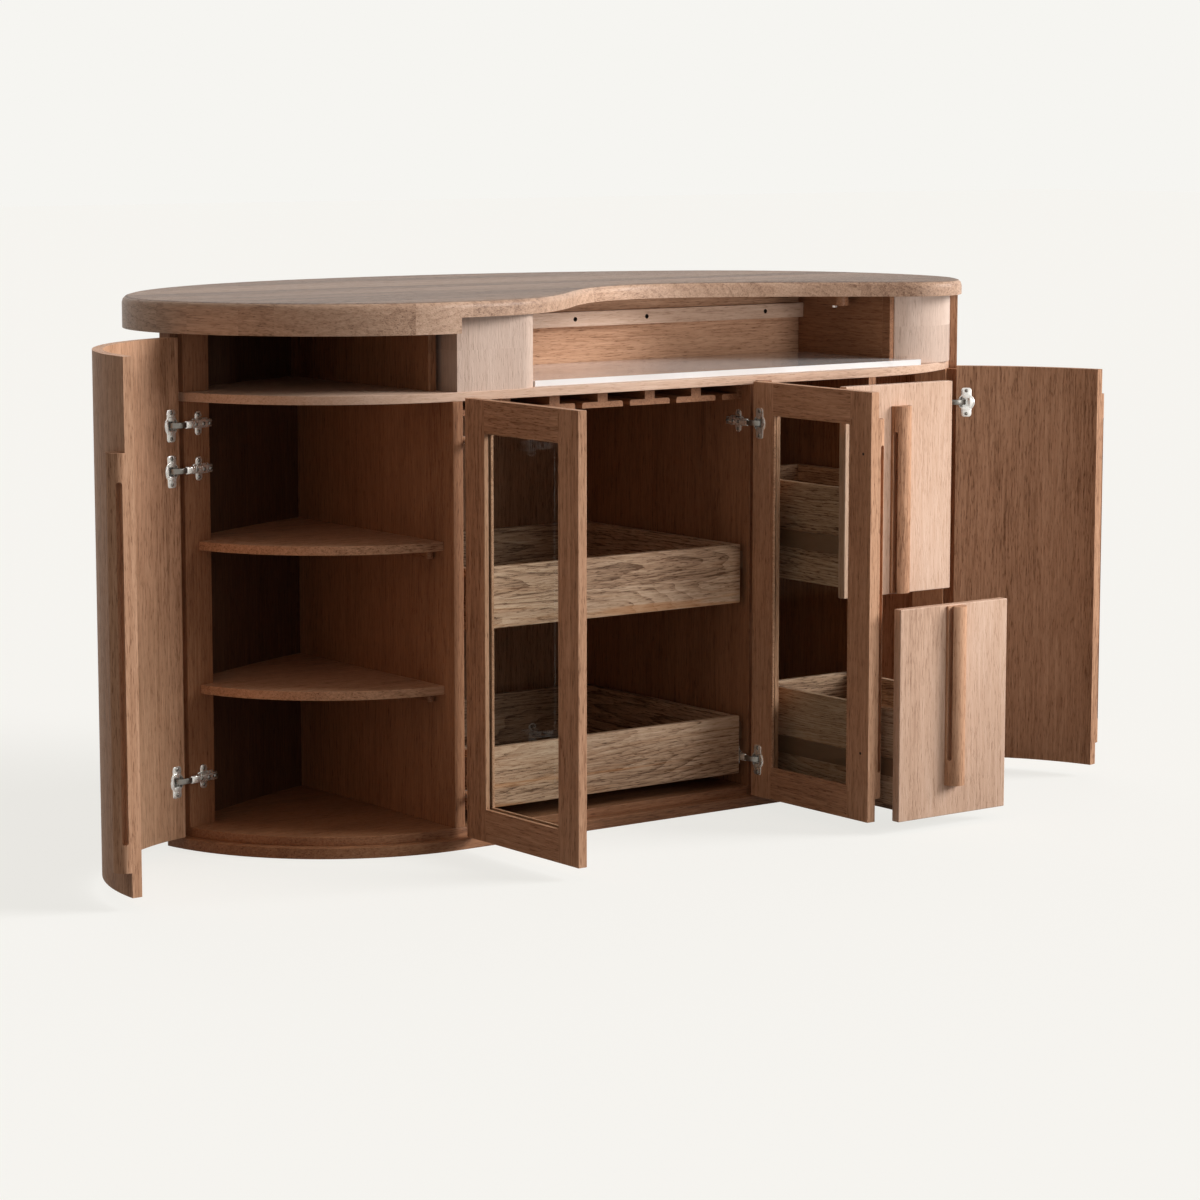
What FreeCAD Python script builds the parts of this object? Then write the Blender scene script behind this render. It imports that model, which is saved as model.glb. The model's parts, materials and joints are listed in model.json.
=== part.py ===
"""Kidney-shaped home bar counter: a cabinet with curved doors, glass doors, trays and drawers.

Units are millimetres. Z is up, the serving side faces -Y, and the origin is on the floor under the
middle of the cabinet. The doors and drawers stand open, the trays are pushed in.
"""
import FreeCAD, Part
import math
import os

V = FreeCAD.Vector

# Heights
PLINTH_TOP = 22.0
BOARD = 18.0
FLOOR_TOP = PLINTH_TOP + BOARD
DOOR_BOTTOM = 25.0
DOOR_TOP = 900.0
DECK_BOTTOM = 892.0
DECK_TOP = DECK_BOTTOM + BOARD
SLAB = 12.0
APRON_BOTTOM = 1027.0
TOP_BOTTOM = 1058.0
TOP_SURFACE = 1090.0
LEFT_DOOR_TOP = 1019.0
SHELF_TOPS = (324.0, 612.0)

# Plan: front plane of the closed doors, and the two rounded ends that are tangent to it
FRONT_Y = -350.0
LEFT_CENTRE = V(-500, 105, 0)
LEFT_RADIUS = 455.0
RIGHT_CENTRE = V(588, 195, 0)
RIGHT_RADIUS = 545.0
LEFT_END_ANGLE = 188.7
RIGHT_END_ANGLE = 308.4
BACK_POINTS = [V(785, 105, 0), V(455, 290, 0), V(0, 345, 0), V(-440, 290, 0), V(-760, 155, 0)]
CARCASS_INSET = 22.0
BACK_SKIN_INSET = 4.0
DOOR_T = 20.0
CARCASS_Y = FRONT_Y + CARCASS_INSET
GAP = 3.0

# Uprights
PANEL = 24.0
LEFT_PARTITION_X = -490.0
RIGHT_PARTITION_X = 262.0
DIVIDER_X = 588.0
DIVIDER_T = 20.0
BAY_LEFT = LEFT_PARTITION_X + PANEL / 2
BAY_RIGHT = RIGHT_PARTITION_X - PANEL / 2
DRAWER_LEFT = 291.0
DRAWER_RIGHT = DIVIDER_X - DIVIDER_T / 2
POST_DEPTH = 70.0

# Curved doors: the angle at the rounded end where each one hinges, and how far it stands open
LEFT_HINGE_ANGLE = 193.0
RIGHT_HINGE_ANGLE = 305.2
LEFT_OPEN = -90.0
RIGHT_OPEN = 105.0
LEFT_HINGE_Z = (139.0, 757.0, 847.0)
RIGHT_HINGE_Z = (110.0, 820.0)

# Glass doors
GLASS_DOOR_W = (RIGHT_PARTITION_X - LEFT_PARTITION_X - 2 * GAP) / 2
FRAME_W = 65.0
REBATE = 9.0
GLASS_T = 4.0
BEAD = 9.0
GLASS_HINGE_Z = (104.0, 814.0)
GLASS_OPEN = 90.0

# Cup hinges
CUP_R = 17.5
CUP_SIDES = 18
CUP_DEPTH = 12.0
CUP_WALL = 1.2
CUP_OFFSET = 22.0
FLANGE_T = 2.0
FLANGE_H = 64.0
FLANGE_W = 20.0
ARM_NEAR = 19.5
ARM_FAR = 27.5
ARM_TIP = 12.0
ARM_NECK = 32.0
ARM_END = 88.0
ARM_H = 16.0
SIDE_FACE = 10.5
PLATE_T = 2.0
PLATE_H = 48.0
PLATE_REACH = (40.0, 86.0)

# Half-round handles with a stopped finger groove
HANDLE_W = 44.0
HANDLE_P = 26.0
HANDLE_LOW = 72.0
HANDLE_HIGH = 845.0
GROOVE_H = 11.0
GROOVE_D = 12.0
GROOVE_MARGIN = 58.0

# Trays and drawers
TRAY_SIDE_GAP = 19.0
TRAY_FRONT_Y = -322.0
TRAY_LENGTH = 550.0
TRAY_BOARD = 16.0
BOTTOM_T = 6.0
BOTTOM_LIFT = 8.0
TRAY_Z = {"upper": (433.0, 557.0), "lower": (69.0, 192.0)}
DRAWER_FRONT_X = (DRAWER_LEFT + 2.5, DIVIDER_X - 1.5)
DRAWER_Z = {"upper": (464.0, 900.0), "lower": (25.0, 461.0)}
DRAWER_BOX_H = 207.0
DRAWER_BOX_LIFT = 20.0
DRAWER_DEPTH = 450.0
DRAWER_SIDE_GAP = 13.0
DRAWER_BOARD = 14.0
DRAWER_OUT = {"upper": 233.0, "lower": 408.0}
DRAWER_HANDLE_Z = {"upper": (467.0, 855.0), "lower": (88.0, 458.0)}
SLIDE_H = 36.0
SLIDE_AIR = 1.0
SLIDE_LIFT = 70.0
SLIDE_BACK = 200.0

# Stemware rack under the deck
RACK_PITCH = 121.0
RACK_STEM_W = 25.0
RACK_FLANGE_W = 103.0
RACK_FLANGE_Z = (860.0, 872.0)
RACK_Y = (-300.0, 200.0)
RACK_ROUND = 5.0

# Niche above the deck
NICHE_BACK_Y = 70.0
NICHE_LEFT_X = -285.0
NICHE_RIGHT_X = 714.0
UPPER_PARTITION_X = -520.0
UPPER_PARTITION_Y = -270.0
PILLAR_FRONT = CARCASS_Y + 2.0
PILLAR_DEPTH = 90.0
PILLAR_ROUND = 45.0
RIGHT_PILLAR = (V(726, -240, 0), V(830, -268, 0), V(918, -204, 0))
RIGHT_PILLAR_T = 25.0
SLAB_FRONT_Y = -300.0
SLAB_RIGHT = 752.0
SLAB_STEP_Y = -284.0
RAIL_Z = (1000.0, 1032.0)
RAIL_HOLES = (77.0, 270.0, 603.0)
RAIL_HOLE_R = 5.0
RAIL_HOLE_SIDES = 14
RAIL_HOLE_DEPTH = 8.0

# Counter top: left end, bowed back, right end, hollow front
TOP_OVERHANG = 8.0
TOP_BACK = [V(-880, 300, 0), V(-640, 508, 0), V(-60, 645, 0), V(490, 562, 0), V(828, 372, 0)]
TOP_RIGHT = V(990, 20, 0)
TOP_FRONT = [V(928, -236, 0), V(824, -302, 0), V(668, -228, 0), V(435, -72, 0), V(214, -4, 0),
             V(30, -66, 0), V(-150, -225, 0), V(-300, -328, 0)]
TOP_ROUND = 14.0
ROUND_STEPS = 3
APRON_W = 45.0
APRON_FREE = [V(-500, -400, 0), V(1100, -400, 0), V(1100, -165, 0), V(850, -165, 0), V(650, 20, 0),
              V(214, 140, 0), V(-150, 20, 0), V(-500, -200, 0)]

# Blocks that hold the top and the shelves
CLEAT_H = 24.0
CLEAT_W = 34.0
CLEAT_L = 62.0
TOP_CLEATS = [V(676, -120, 0), V(-560, -190, 0), V(-870, -20, 0)]
BOLT_R = 6.0
BOLT_H = 5.0
BOLT_SIDES = 6
SHELF_RADIUS = 398.0
SHELF_CLEAT = 18.0
SHELF_CLEAT_Y = (-255.0, -80.0)
SHELF_BACK_CLEAT_X = (-760.0, -640.0)


def polar(centre, radius, angle):
    """Point at an angle in degrees on a circle about centre."""
    a = math.radians(angle)
    return V(centre.x + radius * math.cos(a), centre.y + radius * math.sin(a), 0)


def arc(centre, radius, first, last):
    """Arc edge from the first angle to the last one."""
    middle = polar(centre, radius, (first + last) / 2)
    return Part.Arc(polar(centre, radius, first), middle, polar(centre, radius, last)).toShape()


def line(a, b):
    """Straight edge."""
    return Part.LineSegment(a, b).toShape()


def arc_pair(start, along, end, onward):
    """Two arcs that meet smoothly, between two points with given directions."""
    chord = end - start
    turn = along.dot(onward)
    a, b = 2 * (1 - turn), 2 * chord.dot(along + onward)
    c = -chord.dot(chord)
    reach = -c / b if abs(a) < 1e-9 else (-b + math.sqrt(b * b - 4 * a * c)) / (2 * a)
    joint = (start + end + (along - onward) * reach) * 0.5
    return [tangent_arc(start, along, joint), tangent_arc(end, -onward, joint)]


def tangent_arc(start, along, end):
    """Arc from a point in a direction to an end, or a line where it is straight."""
    chord = end - start
    side = V(-along.y, along.x, 0)
    bulge = chord.dot(side)
    if abs(bulge) < 1e-6 * chord.Length:
        return line(start, end)
    radius = chord.dot(chord) / (2 * bulge)
    centre = start + side * radius
    middle = (start + end) * 0.5 - centre
    return Part.Arc(start, centre + middle.normalize() * abs(radius), end).toShape()


def smooth_edges(points, closed=False):
    """Smooth run of arcs through points."""
    guide = Part.BSplineCurve()
    guide.interpolate(Points=points, PeriodicFlag=closed)
    ways = [guide.tangent(guide.parameter(point))[0] for point in points]
    stops = list(zip(points, ways))
    pairs = zip(stops, stops[1:] + stops[:1] if closed else stops[1:])
    return [edge for (a, u), (b, w) in pairs for edge in arc_pair(a, u, b, w)]


def drawn_points(points, distance, closed=False):
    """Points of a smooth curve, moved to its left by a distance."""
    guide = Part.BSplineCurve()
    guide.interpolate(Points=points, PeriodicFlag=closed)
    ways = [guide.tangent(guide.parameter(point))[0] for point in points]
    return [point + V(-way.y, way.x, 0) * distance for point, way in zip(points, ways)]


def plate(face, low, high):
    """Prism of a face that lies at z = 0."""
    solid = face.extrude(V(0, 0, high - low))
    solid.translate(V(0, 0, low))
    return solid


def box(x0, x1, y0, y1, z0, z1):
    """Box between two corners."""
    return Part.makeBox(x1 - x0, y1 - y0, z1 - z0, V(x0, y0, z0))


def polygon(points):
    """Flat face with straight edges."""
    return Part.Face(Part.makePolygon(points + [points[0]]))


def sector(centre, inner, outer, first, last):
    """Flat ring sector between two radii and two angles."""
    edges = [arc(centre, outer, first, last), line(polar(centre, outer, last), polar(centre, inner, last)),
             arc(centre, inner, last, first), line(polar(centre, inner, first), polar(centre, outer, first))]
    return Part.Face(Part.Wire(edges))


def cylinder(radius, height, base, axis):
    """Cylinder from a base point along an axis."""
    return Part.makeCylinder(radius, height, base, axis)


def many_sided(sides, radius, height, base, axis):
    """Prism on a regular polygon, from a base point along an axis."""
    side = V(1, 0, 0)
    up = axis.cross(side)
    turns = [2 * math.pi * i / sides for i in range(sides)]
    ring = [base + side * (radius * math.cos(t)) + up * (radius * math.sin(t)) for t in turns]
    return polygon(ring).extrude(axis * height)


def group(solids):
    """Several separate pieces in one node."""
    return Part.makeCompound(solids)


def turned(shape, pivot, angle):
    """Copy of a shape turned about a vertical axis."""
    result = shape.copy()
    result.rotate(pivot, V(0, 0, 1), angle)
    return result


def moved(shape, vector):
    """Copy of a shape moved along a vector."""
    result = shape.copy()
    result.translate(vector)
    return result


def back_edges(inset):
    """Bowed back of the cabinet from right to left, drawn in by a distance."""
    def end(centre, radius, angle, depth):
        return polar(centre, radius - depth, angle)

    right, left = (RIGHT_CENTRE, RIGHT_RADIUS, RIGHT_END_ANGLE), (LEFT_CENTRE, LEFT_RADIUS, LEFT_END_ANGLE)
    outer = [end(*right, 0)] + BACK_POINTS + [end(*left, 0)]
    inner = drawn_points(outer, inset)[1:-1]
    return smooth_edges([end(*right, inset)] + inner + [end(*left, inset)])


def cabinet_face(inset):
    """Plan of the cabinet drawn in by a distance: flat front, two rounded ends, bowed back."""
    left, right = LEFT_RADIUS - inset, RIGHT_RADIUS - inset
    edges = [arc(LEFT_CENTRE, left, LEFT_END_ANGLE, 270),
             line(polar(LEFT_CENTRE, left, 270), polar(RIGHT_CENTRE, right, 270)),
             arc(RIGHT_CENTRE, right, 270, RIGHT_END_ANGLE)]
    return Part.Face(Part.Wire(Part.sortEdges(edges + back_edges(inset))[0]))


def back_face():
    """Plan of the bowed back panel."""
    ends = []
    for centre, radius, angle in ((RIGHT_CENTRE, RIGHT_RADIUS, RIGHT_END_ANGLE),
                                  (LEFT_CENTRE, LEFT_RADIUS, LEFT_END_ANGLE)):
        ends.append(line(polar(centre, radius - BACK_SKIN_INSET, angle),
                         polar(centre, radius - CARCASS_INSET, angle)))
    edges = back_edges(BACK_SKIN_INSET) + back_edges(CARCASS_INSET) + ends
    return Part.Face(Part.Wire(Part.sortEdges(edges)[0]))


CARCASS = cabinet_face(CARCASS_INSET)


def upright(x0, x1, z0, z1, front=CARCASS_Y):
    """Vertical panel cut to the carcass outline."""
    strip = polygon([V(x0, front, 0), V(x1, front, 0), V(x1, 900, 0), V(x0, 900, 0)])
    return plate(strip.common(CARCASS).Faces[0], z0, z1)


def hinge_post(centre, radius, end_angle, hinge_angle):
    """Plan of a post behind a hinged end, and of the strip that closes the line of the door."""
    turn = 1 if hinge_angle > end_angle else -1
    inner = radius - CARCASS_INSET
    clear = math.degrees(GAP / radius)
    reach = math.degrees(SIDE_FACE / inner)
    post = sector(centre, inner - POST_DEPTH, inner, end_angle, hinge_angle + turn * reach)
    strip = sector(centre, inner, radius, end_angle, hinge_angle - turn * clear)
    return post, strip


LEFT_POST, LEFT_STRIP = hinge_post(LEFT_CENTRE, LEFT_RADIUS, LEFT_END_ANGLE, LEFT_HINGE_ANGLE)
RIGHT_POST, RIGHT_STRIP = hinge_post(RIGHT_CENTRE, RIGHT_RADIUS, RIGHT_END_ANGLE, RIGHT_HINGE_ANGLE)


def closed_face(points):
    """Face inside one smooth closed curve through points."""
    return Part.Face(Part.Wire(Part.sortEdges(smooth_edges(points, True))[0]))


def top_points():
    """Points on the kidney outline of the counter top, clockwise, with a round left end."""
    radius = LEFT_RADIUS + TOP_OVERHANG
    left_end = [polar(LEFT_CENTRE, radius, angle) for angle in (270, 240, 210, 180)]
    return left_end + TOP_BACK + [TOP_RIGHT] + TOP_FRONT


def rim_edges(solid, height):
    """Edges of a solid that lie flat at one height."""
    return [e for e in solid.Edges if max(abs(v.Z - height) for v in e.Vertexes) < 1e-3]


def rim_band(points, low, high):
    """Layer of the top's rounded rim between two angles of its quarter round."""
    wires = []
    for angle in (low, high):
        drawn = drawn_points(points, -TOP_ROUND * (1 - math.cos(angle)), True)
        wire = closed_face(drawn).OuterWire
        wire.translate(V(0, 0, TOP_SURFACE - TOP_ROUND * (1 - math.sin(angle))))
        wires.append(wire)
    return Part.makeLoft(wires, True, True)


def counter_top():
    """Thick-edged top: a slab with a rounded rim, and an apron under the ends and the back."""
    points = top_points()
    face = closed_face(points)
    slab = plate(face, TOP_BOTTOM, TOP_SURFACE - TOP_ROUND)
    steps = [math.pi / 2 * i / ROUND_STEPS for i in range(ROUND_STEPS + 1)]
    for low, high in zip(steps, steps[1:]):
        slab = slab.fuse(rim_band(points, low, high))
    inner = closed_face(drawn_points(points, -APRON_W, True))
    band = face.cut(inner).cut(polygon(APRON_FREE)).Faces[0]
    return {"counter_top": slab, "top_apron": plate(band, APRON_BOTTOM, TOP_BOTTOM)}


def carcass(apron):
    """Fixed boards of the cabinet below and behind the deck."""
    back = plate(back_face(), PLINTH_TOP, TOP_BOTTOM)
    stile = box(RIGHT_PARTITION_X + 1.5, DRAWER_LEFT, FRONT_Y, CARCASS_Y, DOOR_BOTTOM, DOOR_TOP)
    lining = upright(BAY_RIGHT + PANEL, DRAWER_LEFT, FLOOR_TOP, DECK_BOTTOM)
    left_post = plate(LEFT_POST, FLOOR_TOP, DECK_BOTTOM).fuse(plate(LEFT_STRIP, PLINTH_TOP, APRON_BOTTOM))
    right_post = plate(RIGHT_POST, FLOOR_TOP, DECK_BOTTOM).fuse(plate(RIGHT_STRIP, PLINTH_TOP, DECK_BOTTOM))
    return {
        "base_plinth": plate(cabinet_face(0), 0, PLINTH_TOP),
        "floor_board": plate(CARCASS, PLINTH_TOP, FLOOR_TOP),
        "mid_deck": plate(CARCASS, DECK_BOTTOM, DECK_TOP),
        "back_panel": back.cut(apron),
        "left_partition": upright(BAY_LEFT - PANEL, BAY_LEFT, FLOOR_TOP, DECK_BOTTOM),
        "right_partition": upright(BAY_RIGHT, BAY_RIGHT + PANEL, FLOOR_TOP, DECK_BOTTOM),
        "drawer_side_panel": lining.fuse(stile),
        "drawer_divider": upright(DRAWER_RIGHT, DRAWER_RIGHT + DIVIDER_T, FLOOR_TOP, DECK_BOTTOM),
        "left_hinge_post": left_post,
        "left_upper_post": plate(LEFT_POST, DECK_TOP, APRON_BOTTOM),
        "right_hinge_post": right_post,
    }


def right_pillar_face():
    """Plan of the bowed panel under the right end of the top."""
    a, b, c = RIGHT_PILLAR
    curve = Part.Arc(a, b, c)
    circle = Part.Circle(a, b, c)
    centre = circle.Center

    def inward(point):
        return point + (centre - point).normalize() * RIGHT_PILLAR_T

    inner = Part.Arc(inward(c), inward(b), inward(a))
    return Part.Face(Part.Wire([curve.toShape(), line(c, inward(c)), inner.toShape(), line(inward(a), a)]))


def niche(apron):
    """Work niche between the deck and the top."""
    wall_front = PILLAR_FRONT + PILLAR_DEPTH
    pillar = box(LEFT_PARTITION_X, NICHE_LEFT_X, PILLAR_FRONT, wall_front, DECK_TOP, TOP_BOTTOM)
    corner = [e for e in pillar.Edges if e.BoundBox.XMin > NICHE_LEFT_X - 1
              and e.BoundBox.YMax < PILLAR_FRONT + 1 and e.BoundBox.ZLength > 1]
    right_face = right_pillar_face().cut(back_face()).Faces[0]
    wall_x = NICHE_RIGHT_X
    wall_start = RIGHT_PILLAR[0].y + RIGHT_PILLAR_T
    right_wall = box(wall_x, wall_x + BOARD, wall_start, NICHE_BACK_Y, DECK_TOP, TOP_BOTTOM)
    rail = box(NICHE_LEFT_X, wall_x, NICHE_BACK_Y - BOARD, NICHE_BACK_Y, *RAIL_Z)
    for x in RAIL_HOLES:
        spot = V(x, NICHE_BACK_Y - BOARD, sum(RAIL_Z) / 2)
        rail = rail.cut(many_sided(RAIL_HOLE_SIDES, RAIL_HOLE_R, RAIL_HOLE_DEPTH, spot, V(0, 1, 0)))
    slab = polygon([V(NICHE_LEFT_X + 2, SLAB_FRONT_Y, 0), V(SLAB_RIGHT, SLAB_FRONT_Y, 0),
                    V(SLAB_RIGHT, SLAB_STEP_Y, 0), V(wall_x - 1, RIGHT_PILLAR[0].y - 1, 0),
                    V(wall_x - 1, NICHE_BACK_Y - 1, 0), V(NICHE_LEFT_X + 2, NICHE_BACK_Y - 1, 0)])
    right_pillar = plate(right_face, DECK_TOP, TOP_BOTTOM).cut(apron)
    strip = upright(UPPER_PARTITION_X, UPPER_PARTITION_X + BOARD, DECK_TOP, TOP_BOTTOM, UPPER_PARTITION_Y)
    return {
        "left_pillar": pillar.makeFillet(PILLAR_ROUND, corner),
        "right_pillar": right_pillar,
        "niche_left_wall": box(NICHE_LEFT_X - BOARD, NICHE_LEFT_X, wall_front, NICHE_BACK_Y,
                               DECK_TOP, TOP_BOTTOM),
        "niche_right_wall": right_wall.cut(right_pillar),
        "niche_back_panel": box(NICHE_LEFT_X - BOARD, wall_x + BOARD, NICHE_BACK_Y, NICHE_BACK_Y + BOARD,
                                DECK_TOP, TOP_BOTTOM),
        "niche_back_rail": rail,
        "upper_left_partition": strip,
        "stone_slab": plate(slab.cut(right_face).Faces[0], DECK_TOP, DECK_TOP + SLAB),
    }


def round_block(corner, length, width, height):
    """Block along Y whose front end is half round."""
    x, y = corner.x, corner.y
    r = width / 2
    edges = [line(V(x, y, 0), V(x, y + length, 0)), line(V(x, y + length, 0), V(x + width, y + length, 0)),
             line(V(x + width, y + length, 0), V(x + width, y, 0)),
             Part.Arc(V(x + width, y, 0), V(x + r, y - r, 0), V(x, y, 0)).toShape()]
    return plate(Part.Face(Part.Wire(edges)), corner.z, corner.z + height)


def shelves():
    """Two curved shelves, the cleats under them, and the bolted cleats under the top."""
    left_of_partition = polygon([V(-1100, -600, 0), V(BAY_LEFT - PANEL, -600, 0),
                                 V(BAY_LEFT - PANEL, 600, 0), V(-1100, 600, 0)])
    disc = Part.Face(Part.Wire(Part.Circle(LEFT_CENTRE, V(0, 0, 1), SHELF_RADIUS).toShape()))
    face = CARCASS.common(left_of_partition).common(disc).cut(LEFT_POST).Faces[0]
    low_x, high_x = SHELF_BACK_CLEAT_X
    window = polygon([V(low_x, -50, 0), V(high_x, -50, 0), V(high_x, 600, 0), V(low_x, 600, 0)])
    back_strip = CARCASS.cut(cabinet_face(CARCASS_INSET + SHELF_CLEAT)).common(window).Faces[0]
    side_x = BAY_LEFT - PANEL - SHELF_CLEAT
    near, far = SHELF_CLEAT_Y
    result, cleats = {}, []
    for name, top in zip(("lower_shelf", "upper_shelf"), SHELF_TOPS):
        bottom = top - BOARD
        result[name] = plate(face, bottom, top)
        corner = V(side_x, near, bottom - SHELF_CLEAT)
        cleats.append(round_block(corner, far - near, SHELF_CLEAT, SHELF_CLEAT))
        cleats.append(plate(back_strip, bottom - SHELF_CLEAT, bottom))
    result["shelf_cleats"] = group(cleats)
    blocks, bolts = [], []
    for spot in TOP_CLEATS:
        low = TOP_BOTTOM - CLEAT_H
        blocks.append(round_block(V(spot.x - CLEAT_W / 2, spot.y, low), CLEAT_L, CLEAT_W, CLEAT_H))
        head = V(spot.x, spot.y + CLEAT_L / 3, low - BOLT_H)
        bolts.append(many_sided(BOLT_SIDES, BOLT_R, BOLT_H, head, V(0, 0, 1)))
    result["top_cleats"] = group(blocks)
    result["cleat_bolts"] = group(bolts)
    return result


def stemware_rack():
    """Hanging bars of T section under the deck, with half bars at both walls."""
    low, high = RACK_FLANGE_Z
    count = int((BAY_RIGHT - BAY_LEFT) / RACK_PITCH)
    bars = []
    for i in range(count + 1):
        x = (BAY_LEFT + BAY_RIGHT) / 2 + (i - count / 2) * RACK_PITCH
        left, right = max(x - RACK_FLANGE_W / 2, BAY_LEFT), min(x + RACK_FLANGE_W / 2, BAY_RIGHT)
        stem_left, stem_right = max(x - RACK_STEM_W / 2, BAY_LEFT), min(x + RACK_STEM_W / 2, BAY_RIGHT)
        stem = box(stem_left, stem_right, *RACK_Y, high, DECK_BOTTOM)
        flange = box(left, right, *RACK_Y, low, high)
        free = [e for e in rim_edges(flange, high)
                if e.BoundBox.YLength > 1 and BAY_LEFT + 1 < e.BoundBox.XMin < BAY_RIGHT - 1]
        bars.append(stem.fuse(flange.makeFillet(RACK_ROUND, free)))
    return {"stemware_rack": group(bars)}


class Hinged:
    """Place of a hinged door: its pivot at the outer corner, its handedness, and how far it stands open.

    In the door's own axes X runs from the hinge along the closed door and Y runs into the cabinet.
    """

    def __init__(self, pivot, mirrored, angle, opening):
        self.pivot = pivot
        self.mirrored = mirrored
        self.angle = angle
        self.opening = opening

    def closed(self, shape):
        """Shape in the door's own axes, put where it is when the door is shut."""
        result = shape.mirror(V(0, 0, 0), V(1, 0, 0)) if self.mirrored else shape.copy()
        result.rotate(V(0, 0, 0), V(0, 0, 1), self.angle)
        result.translate(self.pivot)
        return result

    def opened(self, shape):
        """Shape of the shut door, swung open."""
        return turned(shape, self.pivot, self.opening)


LEFT_PIVOT = polar(LEFT_CENTRE, LEFT_RADIUS, LEFT_HINGE_ANGLE)
RIGHT_PIVOT = polar(RIGHT_CENTRE, RIGHT_RADIUS, RIGHT_HINGE_ANGLE)
LEFT_DOOR = Hinged(LEFT_PIVOT, False, LEFT_HINGE_ANGLE - 270, LEFT_OPEN)
RIGHT_DOOR = Hinged(RIGHT_PIVOT, True, RIGHT_HINGE_ANGLE - 270, RIGHT_OPEN)
LEFT_GLASS = Hinged(V(LEFT_PARTITION_X + GAP / 2, FRONT_Y, 0), False, 0, -GLASS_OPEN)
RIGHT_GLASS = Hinged(V(RIGHT_PARTITION_X - GAP / 2, FRONT_Y, 0), True, 0, GLASS_OPEN)


def hinge_cup(z):
    """Hollow cup with its flange, and the pocket that it sits in, in a door's own axes."""
    base = V(CUP_OFFSET, DOOR_T - CUP_DEPTH, z)
    inward = V(0, 1, 0)
    hollow = many_sided(CUP_SIDES, CUP_R - CUP_WALL, CUP_DEPTH + FLANGE_T, base + inward * CUP_WALL, inward)
    flange = box(CUP_OFFSET - FLANGE_W / 2, CUP_OFFSET + FLANGE_W / 2, DOOR_T, DOOR_T + FLANGE_T,
                 z - FLANGE_H / 2, z + FLANGE_H / 2)
    cup = many_sided(CUP_SIDES, CUP_R, CUP_DEPTH, base, inward).fuse(flange).cut(hollow)
    pocket = many_sided(CUP_SIDES, CUP_R, CUP_DEPTH + 2 * FLANGE_T, base, inward).fuse(flange)
    return cup, pocket


def hinge_arm(z):
    """Plate and arm on the cabinet's side face. The arm's tip fits into the cup of the shut door."""
    half = ARM_H / 2
    foot = box(SIDE_FACE, SIDE_FACE + PLATE_T, *PLATE_REACH, z - PLATE_H / 2, z + PLATE_H / 2)
    body = box(SIDE_FACE + PLATE_T, ARM_FAR, ARM_NECK, ARM_END, z - half, z + half)
    tip = box(ARM_NEAR, ARM_FAR, ARM_TIP, ARM_NECK, z - half, z + half)
    return foot.fuse(body).fuse(tip)


def hung(place, leaf, heights):
    """Shut door with its hinges: the leaf with its pockets, its cups, and the arms on the cabinet."""
    cups, arms = [], []
    for z in heights:
        cup, pocket = hinge_cup(z)
        leaf = leaf.cut(place.closed(pocket))
        cups.append(place.closed(cup))
        arms.append(place.closed(hinge_arm(z)))
    return leaf, group(cups), arms


def handle(profile, groove, low, high, open_low=False, open_high=False):
    """Bar of a plan profile with a finger groove, whose round ends stop short of the bar's closed ends."""
    x0, x1, y0, y1 = groove
    start = low - GROOVE_H if open_low else low + GROOVE_MARGIN
    stop = high + GROOVE_H if open_high else high - GROOVE_MARGIN
    slot = box(x0, x1, y0, y1, start, stop)
    for z in (start, stop):
        slot = slot.fuse(cylinder(GROOVE_H / 2, x1 - x0, V(x0, (y0 + y1) / 2, z), V(1, 0, 0)))
    return plate(profile, low, high).cut(slot)


def flat_profile(x0, y):
    """Half-round plan on a flat front."""
    mid, end = V(x0 + HANDLE_W / 2, y - HANDLE_P, 0), V(x0 + HANDLE_W, y, 0)
    return Part.Face(Part.Wire([Part.Arc(V(x0, y, 0), mid, end).toShape(), line(end, V(x0, y, 0))]))


def curved_profile(centre, radius, first, last):
    """Half-round plan on a rounded end."""
    crest = polar(centre, radius + HANDLE_P, (first + last) / 2)
    outer = Part.Arc(polar(centre, radius, first), crest, polar(centre, radius, last)).toShape()
    return Part.Face(Part.Wire([outer, arc(centre, radius, last, first)]))


def groove_band(free_x, side):
    """Plan of the finger groove beside a free edge. Side is +1 where the edge faces +X."""
    ends = sorted((free_x - side * GROOVE_D, free_x + side * GROOVE_D))
    return ends[0], ends[1], FRONT_Y - GROOVE_H - 6, FRONT_Y - 6


def curved_doors():
    """Left and right curved doors with handles and hinges, swung open, and the arms on the cabinet."""
    result, arms = {}, []
    specs = [("left", LEFT_DOOR, LEFT_CENTRE, LEFT_RADIUS, LEFT_HINGE_ANGLE, -1, LEFT_DOOR_TOP,
              LEFT_HINGE_Z),
             ("right", RIGHT_DOOR, RIGHT_CENTRE, RIGHT_RADIUS, RIGHT_HINGE_ANGLE, 1, DOOR_TOP,
              RIGHT_HINGE_Z)]
    for name, place, centre, radius, hinge_angle, way, top, heights in specs:
        free_angle = 270 + way * math.degrees(GAP / 2 / radius)
        far_angle = free_angle + way * math.degrees(HANDLE_W / radius)
        leaf = plate(sector(centre, radius - DOOR_T, radius, hinge_angle, free_angle), DOOR_BOTTOM, top)
        leaf, cups, fixed = hung(place, leaf, heights)
        free_x = polar(centre, radius, free_angle).x
        grip = handle(curved_profile(centre, radius, far_angle, free_angle), groove_band(free_x, -way),
                      HANDLE_LOW, HANDLE_HIGH)
        result[name + "_curved_door"] = place.opened(leaf)
        result[name + "_door_handle"] = place.opened(grip)
        result[name + "_door_hinge_cups"] = place.opened(cups)
        arms += fixed
    result["curved_door_hinge_arms"] = group(arms)
    return result


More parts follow.
